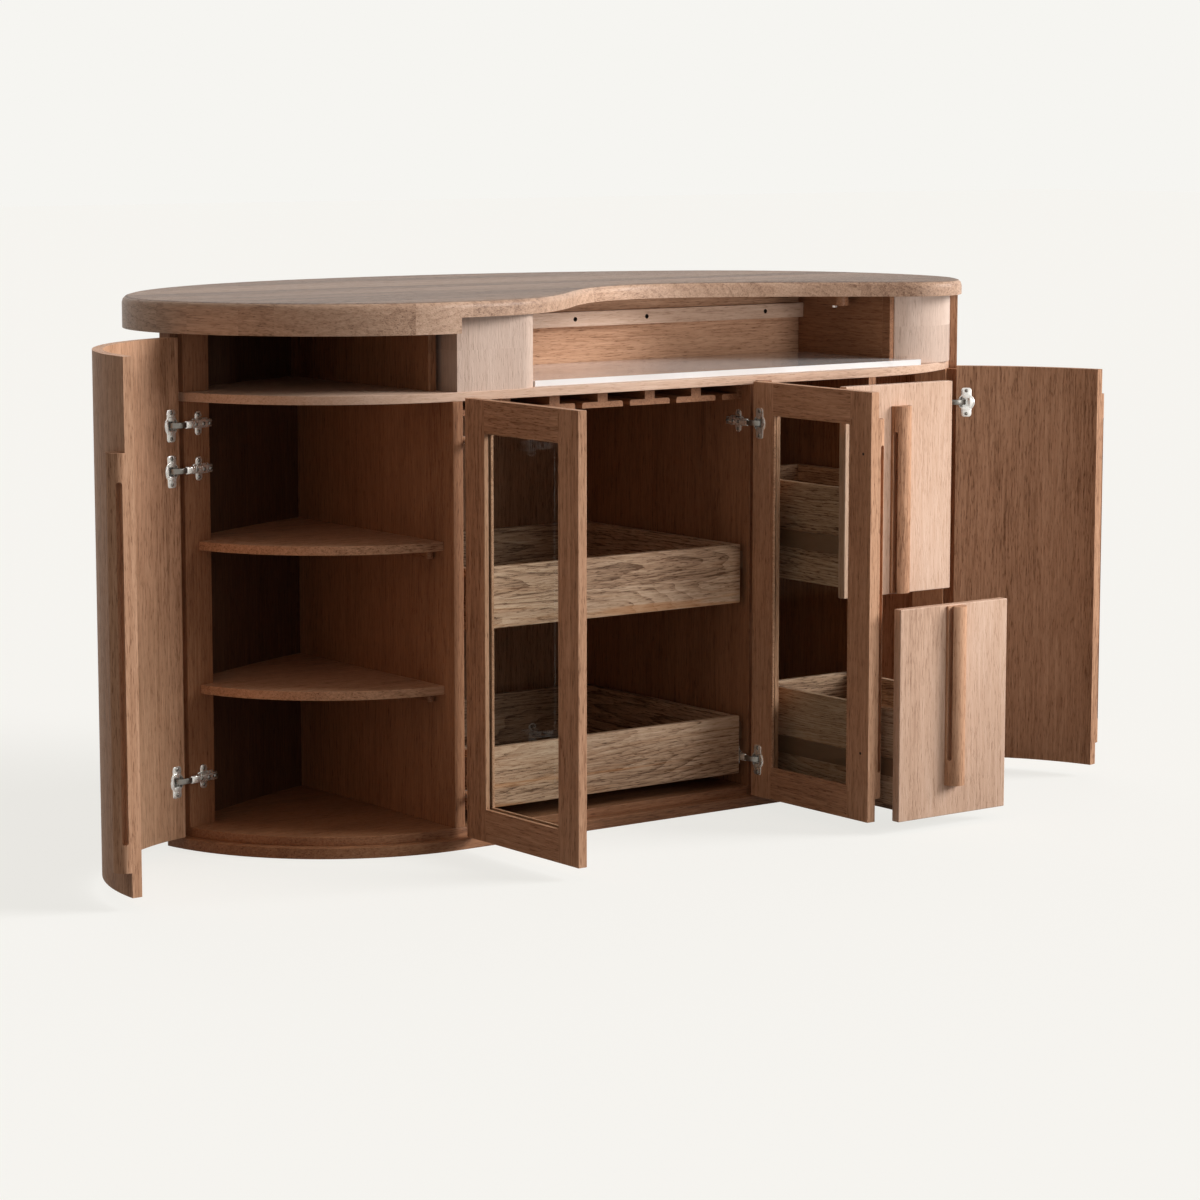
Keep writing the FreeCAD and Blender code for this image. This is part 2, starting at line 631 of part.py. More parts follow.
def glass_door(place):
    """Framed leaf, pane and beads of a shut glass door."""
    w, low, high = GLASS_DOOR_W, DOOR_BOTTOM, DOOR_TOP
    x0, x1, z0, z1 = FRAME_W, w - FRAME_W, low + FRAME_W, high - FRAME_W
    mid = DOOR_T / 2
    frame = box(0, w, 0, DOOR_T, low, high).cut(box(x0, x1, -1, DOOR_T + 1, z0, z1))
    rebate = box(x0 - REBATE, x1 + REBATE, mid, DOOR_T, z0 - REBATE, z1 + REBATE)
    pane = box(x0 - REBATE + 1, x1 + REBATE - 1, mid, mid + GLASS_T, z0 - REBATE + 1, z1 + REBATE - 1)
    bead = box(x0 - REBATE, x1 + REBATE, mid + GLASS_T, DOOR_T, z0 - REBATE, z1 + REBATE)
    bead = bead.cut(box(x0 + BEAD / 3, x1 - BEAD / 3, 0, DOOR_T, z0 + BEAD / 3, z1 - BEAD / 3))
    return [place.closed(shape) for shape in (frame.cut(rebate), pane, bead)]


def glass_doors():
    """Pair of framed glass doors, swung open. The right one carries the handle."""
    result, arms = {}, []
    for name, place in (("left", LEFT_GLASS), ("right", RIGHT_GLASS)):
        frame, pane, bead = glass_door(place)
        frame, cups, fixed = hung(place, frame, GLASS_HINGE_Z)
        result[name + "_glass_door_frame"] = place.opened(frame)
        result[name + "_glass_pane"] = place.opened(pane)
        result[name + "_glass_beads"] = place.opened(bead)
        result[name + "_glass_hinge_cups"] = place.opened(cups)
        arms += fixed
    free_x = RIGHT_GLASS.pivot.x - GLASS_DOOR_W
    grip = handle(flat_profile(free_x, FRONT_Y), groove_band(free_x, -1), HANDLE_LOW, HANDLE_HIGH)
    result["right_glass_door_handle"] = RIGHT_GLASS.opened(grip)
    result["glass_door_hinge_arms"] = group(arms)
    return result


def open_box(x0, x1, y0, y1, z0, z1, board):
    """Two sides, a back and a bottom, without the front."""
    floor = z0 + BOTTOM_LIFT
    return group([box(x0, x0 + board, y0, y1, z0, z1), box(x1 - board, x1, y0, y1, z0, z1),
                  box(x0 + board, x1 - board, y1 - board, y1, z0, z1),
                  box(x0 + board, x1 - board, y0, y1 - board, floor, floor + BOTTOM_T)])


def slides(left, right, gap, y0, y1, z0):
    """Fixed and running members on both sides of a box that slides between two walls."""
    thick = (gap - SLIDE_AIR) / 2
    z1 = z0 + SLIDE_H
    fixed = [box(left, left + thick, y0, y1, z0, z1), box(right - thick, right, y0, y1, z0, z1)]
    running = [box(left + gap - thick, left + gap, y0, y1, z0, z1),
               box(right - gap, right - gap + thick, y0, y1, z0, z1)]
    return fixed, group(running)


def trays():
    """Two open trays on slides between the partitions, pushed in."""
    result, all_fixed = {}, []
    x0, x1 = BAY_LEFT + TRAY_SIDE_GAP, BAY_RIGHT - TRAY_SIDE_GAP
    y0, y1 = TRAY_FRONT_Y, TRAY_FRONT_Y + TRAY_LENGTH
    for name, (z0, z1) in TRAY_Z.items():
        fixed, running = slides(BAY_LEFT, BAY_RIGHT, TRAY_SIDE_GAP, y0 + TRAY_BOARD, SLIDE_BACK,
                                z0 + SLIDE_LIFT)
        result[name + "_tray_front"] = box(x0, x1, y0, y0 + TRAY_BOARD, z0, z1)
        result[name + "_tray_box"] = open_box(x0, x1, y0 + TRAY_BOARD, y1, z0, z1, TRAY_BOARD)
        result[name + "_tray_runners"] = running
        all_fixed += fixed
    result["tray_slides"] = group(all_fixed)
    return result


def drawers():
    """Two drawers with tall fronts, pulled out. Shut, their handles make one long bar."""
    result, all_fixed = {}, []
    x0, x1 = DRAWER_LEFT + DRAWER_SIDE_GAP, DRAWER_RIGHT - DRAWER_SIDE_GAP
    front_back = FRONT_Y + DOOR_T
    handle_x = (sum(DRAWER_FRONT_X) - HANDLE_W) / 2
    for name, (z0, z1) in DRAWER_Z.items():
        out = V(0, -DRAWER_OUT[name], 0)
        floor = z0 + DRAWER_BOX_LIFT
        back = front_back + DRAWER_DEPTH
        tray = open_box(x0, x1, front_back, back, floor, floor + DRAWER_BOX_H, DRAWER_BOARD)
        fixed, running = slides(DRAWER_LEFT, DRAWER_RIGHT, DRAWER_SIDE_GAP, CARCASS_Y + GAP,
                                back - GAP, floor + SLIDE_LIFT)
        low, high = DRAWER_HANDLE_Z[name]
        grip = handle(flat_profile(handle_x, FRONT_Y), groove_band(handle_x, -1), low, high,
                      open_low=name == "upper", open_high=name == "lower")
        result[name + "_drawer_front"] = moved(box(*DRAWER_FRONT_X, FRONT_Y, front_back, z0, z1), out)
        result[name + "_drawer_box"] = moved(tray, out)
        result[name + "_drawer_handle"] = moved(grip, out)
        result[name + "_drawer_runners"] = moved(running, out)
        all_fixed += fixed
    result["drawer_slides"] = group(all_fixed)
    return result


def main():
    """Build every piece and write it to its own file."""
    os.makedirs("parts", exist_ok=True)
    top = counter_top()
    pieces = {**top, **carcass(top["top_apron"]), **niche(top["top_apron"]), **shelves(), **stemware_rack(),
              **curved_doors(), **glass_doors(), **trays(), **drawers()}
    for name, shape in pieces.items():
        shape.exportStep("parts/" + name + ".step")
        print(name, len(shape.Solids), shape.isValid(), round(shape.Volume / 1000))
    print(len(pieces), "nodes")


main()
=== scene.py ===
"""Looks of a kidney-shaped home bar counter: wood, stone, metal, glass, floor, light and camera.

Units are metres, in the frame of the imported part: Z is up and the serving side faces -Y.
"""

import json
import logging
import math
import zlib
from bisect import bisect_right
from dataclasses import dataclass
from enum import Enum
from functools import cache
from typing import Any, Callable, ClassVar, Iterable, Optional, Sequence, Union

import bmesh
import bpy
from mathutils import Matrix, Vector

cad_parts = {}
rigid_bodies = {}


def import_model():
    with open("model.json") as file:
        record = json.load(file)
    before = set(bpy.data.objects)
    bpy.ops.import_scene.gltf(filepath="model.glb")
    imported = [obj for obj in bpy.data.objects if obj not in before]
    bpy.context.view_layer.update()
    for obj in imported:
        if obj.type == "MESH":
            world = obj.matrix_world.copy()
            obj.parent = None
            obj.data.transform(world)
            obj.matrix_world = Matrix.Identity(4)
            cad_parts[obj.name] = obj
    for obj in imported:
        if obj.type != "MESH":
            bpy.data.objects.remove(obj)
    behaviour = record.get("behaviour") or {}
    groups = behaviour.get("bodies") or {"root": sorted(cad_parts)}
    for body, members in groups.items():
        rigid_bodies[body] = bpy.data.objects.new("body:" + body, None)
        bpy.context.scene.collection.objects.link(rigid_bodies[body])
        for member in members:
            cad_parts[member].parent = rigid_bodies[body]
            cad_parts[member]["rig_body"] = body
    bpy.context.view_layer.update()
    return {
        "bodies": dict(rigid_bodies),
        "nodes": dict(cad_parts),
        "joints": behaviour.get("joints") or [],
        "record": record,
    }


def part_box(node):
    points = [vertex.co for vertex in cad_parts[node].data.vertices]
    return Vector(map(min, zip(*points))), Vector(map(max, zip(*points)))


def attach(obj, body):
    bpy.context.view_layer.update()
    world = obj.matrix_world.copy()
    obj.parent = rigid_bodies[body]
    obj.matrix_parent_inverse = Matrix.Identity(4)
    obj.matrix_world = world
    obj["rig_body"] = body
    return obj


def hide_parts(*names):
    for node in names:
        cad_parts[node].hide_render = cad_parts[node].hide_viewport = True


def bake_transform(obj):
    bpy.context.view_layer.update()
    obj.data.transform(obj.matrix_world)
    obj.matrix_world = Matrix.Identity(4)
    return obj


LOG = logging.getLogger("bar_counter")
Colour = tuple[float, float, float, float]
Triple = tuple[float, float, float]
Pair = tuple[float, float]
Sorter = Callable[[Vector, Vector], str]

# Number of steps in the values that belong to names.
SPREAD_STEPS = 10007
# Places that are nearer than this are the same, in metres: on a level, as corners, and along a cut.
SAME_LEVEL = 1e-4
SAME_CORNER = 2e-5
SAME_CUT = 1e-6
# Angle in degrees: faces that meet at less become one.
FLAT_ANGLE = 0.3
# Angles in degrees: edges that turn by more are eased, or shaded sharp on boards and small forms.
EASED_ANGLE = 40.0
SHARP_ANGLE = 50.0
SHARP_FORM_ANGLE = 45.0
# Edges that are shorter than this many radii aren't eased.
SHORT_EDGE = 3
# Faces whose normals lean less than this towards the vertical are upright.
UPRIGHT = 0.95
# How far the grain differs from board to board: along, across and through them, in metres.
GRAIN_SHIFT = (7.0, 0.06, 3.0)
# Turns left into right.
MIRROR = Matrix.Diagonal((-1.0, 1.0, 1.0, 1.0))
# Numbers of the Mix node's sockets for colours.
MIX_FIRST, MIX_SECOND, MIX_RESULT = 6, 7, 2


def srgb(red: int, green: int, blue: int) -> Colour:
    """Linear colour of a screen colour.

    Args:
        red: Red from 0 to 255.
        green: Green from 0 to 255.
        blue: Blue from 0 to 255.

    Returns:
        Linear red, green and blue, and an alpha of 1.
    """
    def linear(level: int) -> float:
        """One channel of the colour."""
        share = level / 255
        return share / 12.92 if share <= 0.04045 else ((share + 0.055) / 1.055) ** 2.4

    return linear(red), linear(green), linear(blue), 1.0


def spread(text: str) -> float:
    """Number from 0 to 1 that belongs to a name, the same on each run."""
    return (zlib.crc32(text.encode()) % SPREAD_STEPS) / SPREAD_STEPS


class Axis(Enum):
    """Direction in the frame. LONGEST follows a board's longest side, ROUND goes round a core."""

    X = 0
    Y = 1
    Z = 2
    LONGEST = 3
    ROUND = 4


class Side(Enum):
    """Side of the counter, as seen from the serving side."""

    LEFT = "left"
    RIGHT = "right"


class Level(Enum):
    """Place of a tray or a drawer."""

    UPPER = "upper"
    LOWER = "lower"


class Socket:
    """Output of a shader node, with operators that add Math nodes."""

    def __init__(self, shader: "Shader", link: Optional[bpy.types.NodeSocket]) -> None:
        """Wrap one output socket of a shader's node."""
        self.shader = shader
        self.link = link

    def _math(self, operation: str, *values: Union["Socket", float]) -> "Socket":
        """Add one Math node.

        Args:
            operation: Name of the Math node's operation.
            values: Its inputs, in order.

        Returns:
            The node's output.
        """
        return self.shader.node("ShaderNodeMath", {"operation": operation}, dict(enumerate(values)))

    def __add__(self, other: Union["Socket", float]) -> "Socket":
        """Sum of two values."""
        return self._math("ADD", self, other)

    __radd__ = __add__

    def __sub__(self, other: Union["Socket", float]) -> "Socket":
        """Difference of two values."""
        return self._math("SUBTRACT", self, other)

    def __rsub__(self, other: float) -> "Socket":
        """Number less this value."""
        return self._math("SUBTRACT", other, self)

    def __mul__(self, other: Union["Socket", float]) -> "Socket":
        """Product of two values."""
        return self._math("MULTIPLY", self, other)

    __rmul__ = __mul__

    def __pow__(self, power: float) -> "Socket":
        """Power of this value."""
        return self._math("POWER", self, power)

    def fraction(self) -> "Socket":
        """Part of this value after the decimal point."""
        return self._math("FRACT", self)

    def absolute(self) -> "Socket":
        """Size of this value without its sign."""
        return self._math("ABSOLUTE", self)

    def centred(self) -> "Socket":
        """Noise value with its middle at 0."""
        return self - 0.5

    def larger(self, other: "Socket") -> "Socket":
        """Larger of two values."""
        return self._math("MAXIMUM", self, other)

    def step(self, low: float, high: float) -> "Socket":
        """Smooth step.

        Args:
            low: Value at which the step starts at 0.
            high: Value at which the step reaches 1.

        Returns:
            The stepped value from 0 to 1.
        """
        return self.shader.node("ShaderNodeMapRange", {"interpolation_type": "SMOOTHSTEP"},
                                {"Value": self, "From Min": low, "From Max": high})


@dataclass(frozen=True)
class Noise:
    """Noise on a surface.

    Attributes:
        factors: Features per metre along each axis.
        detail: Number of finer layers.
        bend: How much the noise is bent by itself.
        step: Values between which it rises from 0 to 1, or None for the plain noise.
        weight: Its weight in the finish.
    """

    factors: Triple
    detail: float = 2.0
    bend: float = 0.0
    step: Optional[Pair] = None
    weight: float = 1.0


class Shader:
    """Material or world under construction: one method adds every node."""

    def __init__(self, owner: Union[bpy.types.Material, bpy.types.World]) -> None:
        """Start an empty node tree for a material or a world.

        Args:
            owner: The material or the world.
        """
        owner.use_nodes = True
        self.owner = owner
        self.tree = owner.node_tree
        self.tree.nodes.clear()

    def node(self, kind: str, settings: Optional[dict[str, Any]] = None,
             inputs: Optional[dict[Union[int, str], Any]] = None,
             output: Union[int, str] = 0) -> Socket:
        """Add a node.

        Args:
            kind: Type of the node.
            settings: Its properties, set first. The key stops holds a ramp's colours.
            inputs: Numbers, colours or sockets for its inputs.
            output: Output to return.

        Returns:
            The chosen output of the node.
        """
        made = self.tree.nodes.new(kind)
        for key, value in (settings or {}).items():
            if key == "stops":
                self._stops(made.color_ramp, value)
            else:
                setattr(made, key, value)
        for key, value in (inputs or {}).items():
            if isinstance(value, Socket):
                self.tree.links.new(value.link, made.inputs[key])
            else:
                made.inputs[key].default_value = value
        return Socket(self, made.outputs[output] if made.outputs else None)

    @staticmethod
    def _stops(ramp: bpy.types.ColorRamp, stops: Sequence[tuple[float, Colour]]) -> None:
        """Give a ramp its positions and colours.

        Args:
            ramp: The ramp.
            stops: Position and colour of each stop.
        """
        while len(ramp.elements) < len(stops):
            ramp.elements.new(1.0)
        for element, (position, colour) in zip(ramp.elements, stops):
            element.position = position
            element.color = colour

    def attribute(self, name: str) -> Socket:
        """Vector that the mesh carries at each corner."""
        return self.node("ShaderNodeAttribute", {"attribute_name": name}, None, "Vector")

    def place(self) -> Socket:
        """Place on the object in metres."""
        return self.node("ShaderNodeTexCoord", None, None, "Object")

    def split(self, vector: Socket) -> list[Socket]:
        """The three parts of a vector."""
        return [self.node("ShaderNodeSeparateXYZ", None, {0: vector}, axis) for axis in "XYZ"]

    def scaled(self, vector: Socket, factors: Triple) -> Socket:
        """Vector times a factor for each axis."""
        return self.node("ShaderNodeVectorMath", {"operation": "MULTIPLY"}, {0: vector, 1: factors})

    def noise(self, vector: Socket, pattern: Noise) -> Socket:
        """Noise at a place on the surface.

        Args:
            vector: Place on the surface.
            pattern: The noise.

        Returns:
            Value of about 0 to 1.
        """
        value = self.node("ShaderNodeTexNoise", None, {
            "Vector": self.scaled(vector, pattern.factors), "Scale": 1.0,
            "Detail": pattern.detail, "Distortion": pattern.bend})
        return value.step(*pattern.step) if pattern.step else value

    def mixed(self, factor: Union[Socket, float], first: Union[Socket, Colour],
              second: Union[Socket, Colour]) -> Socket:
        """Mix of two colours.

        Args:
            factor: Share of the second colour.
            first: First colour.
            second: Second colour.

        Returns:
            The mixed colour.
        """
        return self.node("ShaderNodeMix", {"data_type": "RGBA"},
                         {"Factor": factor, MIX_FIRST: first, MIX_SECOND: second}, MIX_RESULT)

    def bump(self, height: Socket, distance: float, strength: float) -> Socket:
        """Normal that is tilted by a height in units of a distance."""
        return self.node("ShaderNodeBump", None,
                         {"Height": height, "Distance": distance, "Strength": strength})

    def principled(self, inputs: dict[str, Any]) -> Union[bpy.types.Material, bpy.types.World]:
        """Finish with a Principled shader that has the given inputs."""
        return self.finish(self.node("ShaderNodeBsdfPrincipled", None, inputs))

    def shared(self, factor: Union[Socket, float], first: Socket, second: Socket) -> Socket:
        """Mix of two shaders, by the share of the second one."""
        return self.node("ShaderNodeMixShader", None, {0: factor, 1: first, 2: second})

    def seen(self) -> Socket:
        """Whether a surface is seen, also through glass or in a reflection.

        Returns:
            1 where it is seen, and 0 for its light.
        """
        def ray(name: str) -> Socket:
            """One output of the light path."""
            return self.node("ShaderNodeLightPath", None, None, name)

        return ray("Is Camera Ray").larger(ray("Is Transmission Ray")).larger(ray("Is Glossy Ray"))

    def finish(self, surface: Socket) -> Union[bpy.types.Material, bpy.types.World]:
        """Connect the surface.

        Args:
            surface: The last shader.

        Returns:
            The material or the world.
        """
        kind = "World" if isinstance(self.owner, bpy.types.World) else "Material"
        self.node("ShaderNodeOutput" + kind, None, {"Surface": surface})
        return self.owner


@dataclass(frozen=True)
class WoodFinish:
    """Lacquered oak with flecks and streaks along the grain, growth rings, pores and worn edges.

    The mesh carries each corner's place along, across and through its board in the attribute
    grain. The attribute marks holds the board's own tone from -1 to 1, its share of golden
    streaks, and 1 on its eased edges.

    Attributes:
        streaks: Strength of flecks, streaks, lines and pores.
        rings: Strength of the growth rings.
        pitch: Distance from ring to ring, straight across them.
        arch: How strongly the rings bend into arches across a board.
        straight: How strongly the rings run straight along a board.
        rise: How strongly the rings follow each other along a board.
        tone: How much boards differ in lightness.
        knots: Strength of knots.
        golden: Colour of the golden streaks.
        sway: How far the rings sway across a board.
        sheen: Strength of the lacquer's reflection.
        base: Lightness of plain wood.
        stops: Lightness at which the wood is deep, mid and pale.
        drift: Slow changes along the boards.
        broad: Wide streaks.
        fine: Short flecks.
        hair: Finest fibres.
        lines: Thin dark lines.
        pores: Short dark pores.
        bands: Where golden streaks lie.
        rubs: Where eased edges are worn.
        ring_edge: How sharply a ring ends.
        ring_rough: How much the streaks roughen the rings, in rings.
        knot_cells: Cells per metre that knots sit in.
        knot_core: Distances at which a knot is darkest and ends, in cells.
        knot_reach: Distance at which it no longer bends the rings, in cells.
        knot_pull: How many rings it bends them by.
        gloss: Weights of flecks, pores and worn edges in the roughness.
        relief: Weights of hairs, flecks, pores and lines in the relief.
        relief_depth: Depth of the relief.
        relief_strength: Strength of the relief.
    """

    name: str
    pale: Colour
    mid: Colour
    deep: Colour
    streaks: float
    roughness: float
    rings: float = 0.05
    pitch: float = 0.010
    arch: float = 0.0
    straight: float = 0.8
    rise: float = 0.004
    tone: float = 0.06
    knots: float = 0.0
    golden: Colour = srgb(190, 128, 74)
    sway: float = 0.045
    sheen: float = 0.2
    base: float = 0.56
    stops: Triple = (0.14, 0.5, 0.86)
    drift: Noise = Noise((1.1, 6.0, 6.0), 3.0, 0.5, weight=0.6)
    broad: Noise = Noise((1.3, 52.0, 52.0), 3.0, 0.3, weight=0.36)
    fine: Noise = Noise((12.0, 210.0, 210.0), 3.0, 0.2, weight=0.8)
    hair: Noise = Noise((30.0, 560.0, 560.0), 2.0, weight=0.6)
    lines: Noise = Noise((2.2, 120.0, 120.0), 2.0, 0.3, (0.58, 0.72), 0.07)
    pores: Noise = Noise((52.0, 470.0, 470.0), 2.0, 0.2, (0.54, 0.66), 0.25)
    bands: Noise = Noise((1.8, 46.0, 46.0), 4.0, 0.9, (0.46, 0.66))
    rubs: Noise = Noise((14.0, 60.0, 60.0), 3.0, 0.0, (0.35, 0.7), 0.4)
    ring_edge: float = 2.6
    ring_rough: float = 0.9
    knot_cells: Triple = (2.3, 8.0, 8.0)
    knot_core: Pair = (0.02, 0.10)
    knot_reach: float = 0.6
    knot_pull: float = 3.0
    gloss: Triple = (0.16, 0.12, 0.06)
    relief: tuple[float, float, float, float] = (0.45, 0.55, 0.9, 0.3)
    relief_depth: float = 0.0004
    relief_strength: float = 0.7

    def build(self) -> bpy.types.Material:
        """Make the material.

        Returns:
            The new material.
        """
        shader = Shader(bpy.data.materials.new(self.name))
        grain = shader.attribute("grain")
        level, glow, worn = shader.split(shader.attribute("marks"))
        drift, broad, fine, hair, lines, pores = (
            shader.noise(grain, pattern) for pattern in
            (self.drift, self.broad, self.fine, self.hair, self.lines, self.pores))
        streaks = (broad.centred() * self.broad.weight + fine.centred() * self.fine.weight
                   + hair.centred() * self.hair.weight - lines * self.lines.weight) * self.streaks
        lightness = (self.base + drift.centred() * self.drift.weight + streaks + level * self.tone
                     - pores * (self.pores.weight * self.streaks)
                     - self._rings(shader, grain, drift, broad) * self.rings)
        if self.knots:
            clear = self._knot(shader, grain).step(*self.knot_core)
            lightness = lightness - (1.0 - clear) * self.knots
        stops = list(zip(self.stops, (self.deep, self.mid, self.pale)))
        colour = shader.node("ShaderNodeValToRGB", {"stops": stops}, {0: lightness})
        colour = shader.mixed(shader.noise(grain, self.bands) * glow, colour, self.golden)
        rubbed = worn * shader.noise(grain, self.rubs)
        colour = shader.mixed(rubbed * self.rubs.weight, colour, self.pale)
        of_fine, of_pores, of_rubbed = self.gloss
        gloss = self.roughness + fine.centred() * of_fine + pores * of_pores - rubbed * of_rubbed
        of_hair, of_fine, of_pores, of_lines = self.relief
        relief = hair * of_hair + fine * of_fine - pores * of_pores - lines * of_lines
        return shader.principled({
            "Base Color": colour, "Roughness": gloss, "Specular IOR Level": self.sheen,
            "Normal": shader.bump(relief, self.relief_depth, self.relief_strength)})

    def _rings(self, shader: Shader, grain: Socket, drift: Socket, broad: Socket) -> Socket:
        """Growth rings that darken slowly and end sharply.

        Args:
            shader: Material under construction.
            grain: Place in the board.
            drift: Slow noise that sways the rings.
            broad: Streaks that roughen them.

        Returns:
            Darkness from 0 to 1.
        """
        along, across, through = shader.split(grain)
        reach = across + drift.centred() * self.sway
        phase = (reach * reach * self.arch + (reach + through) * self.straight + along * self.rise
                 + broad.centred() * (self.ring_rough * self.pitch))
        if self.knots:
            pull = self._knot(shader, grain).step(0.0, self.knot_reach)
            phase = phase - pull * (self.knot_pull * self.pitch)
        return (phase * (1.0 / self.pitch)).fraction() ** self.ring_edge

    def _knot(self, shader: Shader, grain: Socket) -> Socket:
        """Distance to the next knot.

        Args:
            shader: Material under construction.
            grain: Place in the board.

        Returns:
            The distance, in widths of the cells that knots sit in.
        """
        cells = shader.scaled(grain, self.knot_cells)
        return shader.node("ShaderNodeTexVoronoi", None, {"Vector": cells, "Scale": 1.0},
                           "Distance")


@dataclass(frozen=True)
class StoneFinish:
    """Polished white stone with faint grey veins.

    Attributes:
        clouded: Values of the clouds' noise between which the stone turns to the cloud's colour.
        veined: Values between which it shows veins.
        wander: Waves per metre in the veins.
        sideways: How far the waves reach.
        vein_width: Width of the veins, in values of their noise.
        dulled: How much rougher the veins are.
        coat: Strength and roughness of the polish.
    """

    name: str
    body: Colour
    cloud: Colour
    vein: Colour
    roughness: float
    clouds: Noise = Noise((3.5, 5.0, 5.0), 5.0, 0.8, weight=0.6)
    veins: Noise = Noise((2.2, 4.4, 4.4), 6.0, 0.5, weight=0.5)
    clouded: Pair = (0.35, 0.75)
    veined: Pair = (0.4, 0.65)
    wander: float = 4.0
    sideways: float = 0.22
    vein_width: float = 0.035
    dulled: float = 0.05
    coat: Pair = (0.4, 0.04)

    def build(self) -> bpy.types.Material:
        """Make the material.

        Returns:
            The new material.
        """
        shader = Shader(bpy.data.materials.new(self.name))
        place = shader.place()
        cloud = shader.noise(place, self.clouds)
        wander = shader.node("ShaderNodeTexNoise", None, {"Vector": place, "Scale": self.wander},
                             "Color")
        bent = shader.node("ShaderNodeVectorMath", {"operation": "ADD"},
                           {0: place, 1: shader.scaled(wander, (self.sideways,) * 3)})
        line = shader.noise(bent, self.veins).centred().absolute()
        vein = (1.0 - line.step(0.0, self.vein_width)) * cloud.step(*self.veined)
        share = cloud.step(*self.clouded) * self.clouds.weight
        colour = shader.mixed(share, self.body, self.cloud)
        colour = shader.mixed(vein * self.veins.weight, colour, self.vein)
        weight, roughness = self.coat
        return shader.principled({
            "Base Color": colour, "Roughness": self.roughness + vein * self.dulled,
            "Coat Weight": weight, "Coat Roughness": roughness})


@dataclass(frozen=True)
class MetalFinish:
    """Plated or enamelled metal with fine brushing and faint smears.

    Attributes:
        brushing: Noise of the brushing, and its weight in the roughness.
        smears: Noise of the smears, and its weight in the roughness.
        clean: Value of the smears where the metal has its own colour.
        stained: How much the smears stain it.
        relief: Depth and strength of the brushing.
    """

    name: str
    colour: Colour
    stain: Colour
    roughness: float
    metal: float
    brushing: Noise
    smears: Noise = Noise((60.0, 60.0, 60.0), 3.0, weight=0.16)
    clean: float = 0.3
    stained: float = 0.25
    relief: Pair = (0.0001, 0.4)

    def build(self) -> bpy.types.Material:
        """Make the material.

        Returns:
            The new material.
        """
        shader = Shader(bpy.data.materials.new(self.name))
        place = shader.place()
        brush, smear = shader.noise(place, self.brushing), shader.noise(place, self.smears)
        gloss = (self.roughness + brush.centred() * self.brushing.weight
                 + smear.centred() * self.smears.weight)
        colour = shader.mixed((smear - self.clean) * self.stained, self.colour, self.stain)
        return shader.principled({
            "Base Color": colour, "Metallic": self.metal, "Roughness": gloss,
            "Normal": shader.bump(brush, *self.relief)})


@dataclass(frozen=True)
class GlassFinish:
    """Clear float glass that lets light through to what is behind it.

    Attributes:
        tint: Colour of what is seen through it.
        gloss: Colour of its reflections.
        polish: Roughness of its reflections.
        bending: Its index of refraction.
        mirror: Share of the full reflection.
        smears: Noise of smears, which reflect more.
    """

    name: str
    tint: Colour
    gloss: Colour
    polish: float
    bending: float = 1.45
    mirror: float = 0.5
    smears: Noise = Noise((5.0, 5.0, 5.0), 4.0, 0.6, (0.42, 0.85), 0.2)

    def build(self) -> bpy.types.Material:
        """Make the material.

        Returns:
            The new material.
        """
        shader = Shader(bpy.data.materials.new(self.name))
        smear = shader.noise(shader.place(), self.smears)
        mirror = shader.node("ShaderNodeBsdfGlossy", None,
                             {"Color": self.gloss, "Roughness": self.polish})
        clear = shader.node("ShaderNodeBsdfTransparent", None, {"Color": self.tint})
        front = 1.0 - shader.node("ShaderNodeNewGeometry", None, None, "Backfacing")
        share = (shader.node("ShaderNodeFresnel", None, {"IOR": self.bending}) * front
                 * (self.mirror + smear * self.smears.weight))
        return shader.finish(shader.shared(share, clear, mirror))


@dataclass(frozen=True)
class PaintedHoleShade:
    """Painted shade inside a drilled hole or a slot, with lighter dust specks."""

    name: str
    colour: Colour
    dust: Colour
    specks: Noise = Noise((300.0, 300.0, 300.0), 2.0, weight=0.4)
    roughness: float = 0.85

    def build(self) -> bpy.types.Material:
        """Make the material.

        Returns:
            The new material.
        """
        shader = Shader(bpy.data.materials.new(self.name))
        share = shader.noise(shader.place(), self.specks) * self.specks.weight
        return shader.principled({"Base Color": shader.mixed(share, self.colour, self.dust),
                                  "Roughness": self.roughness})


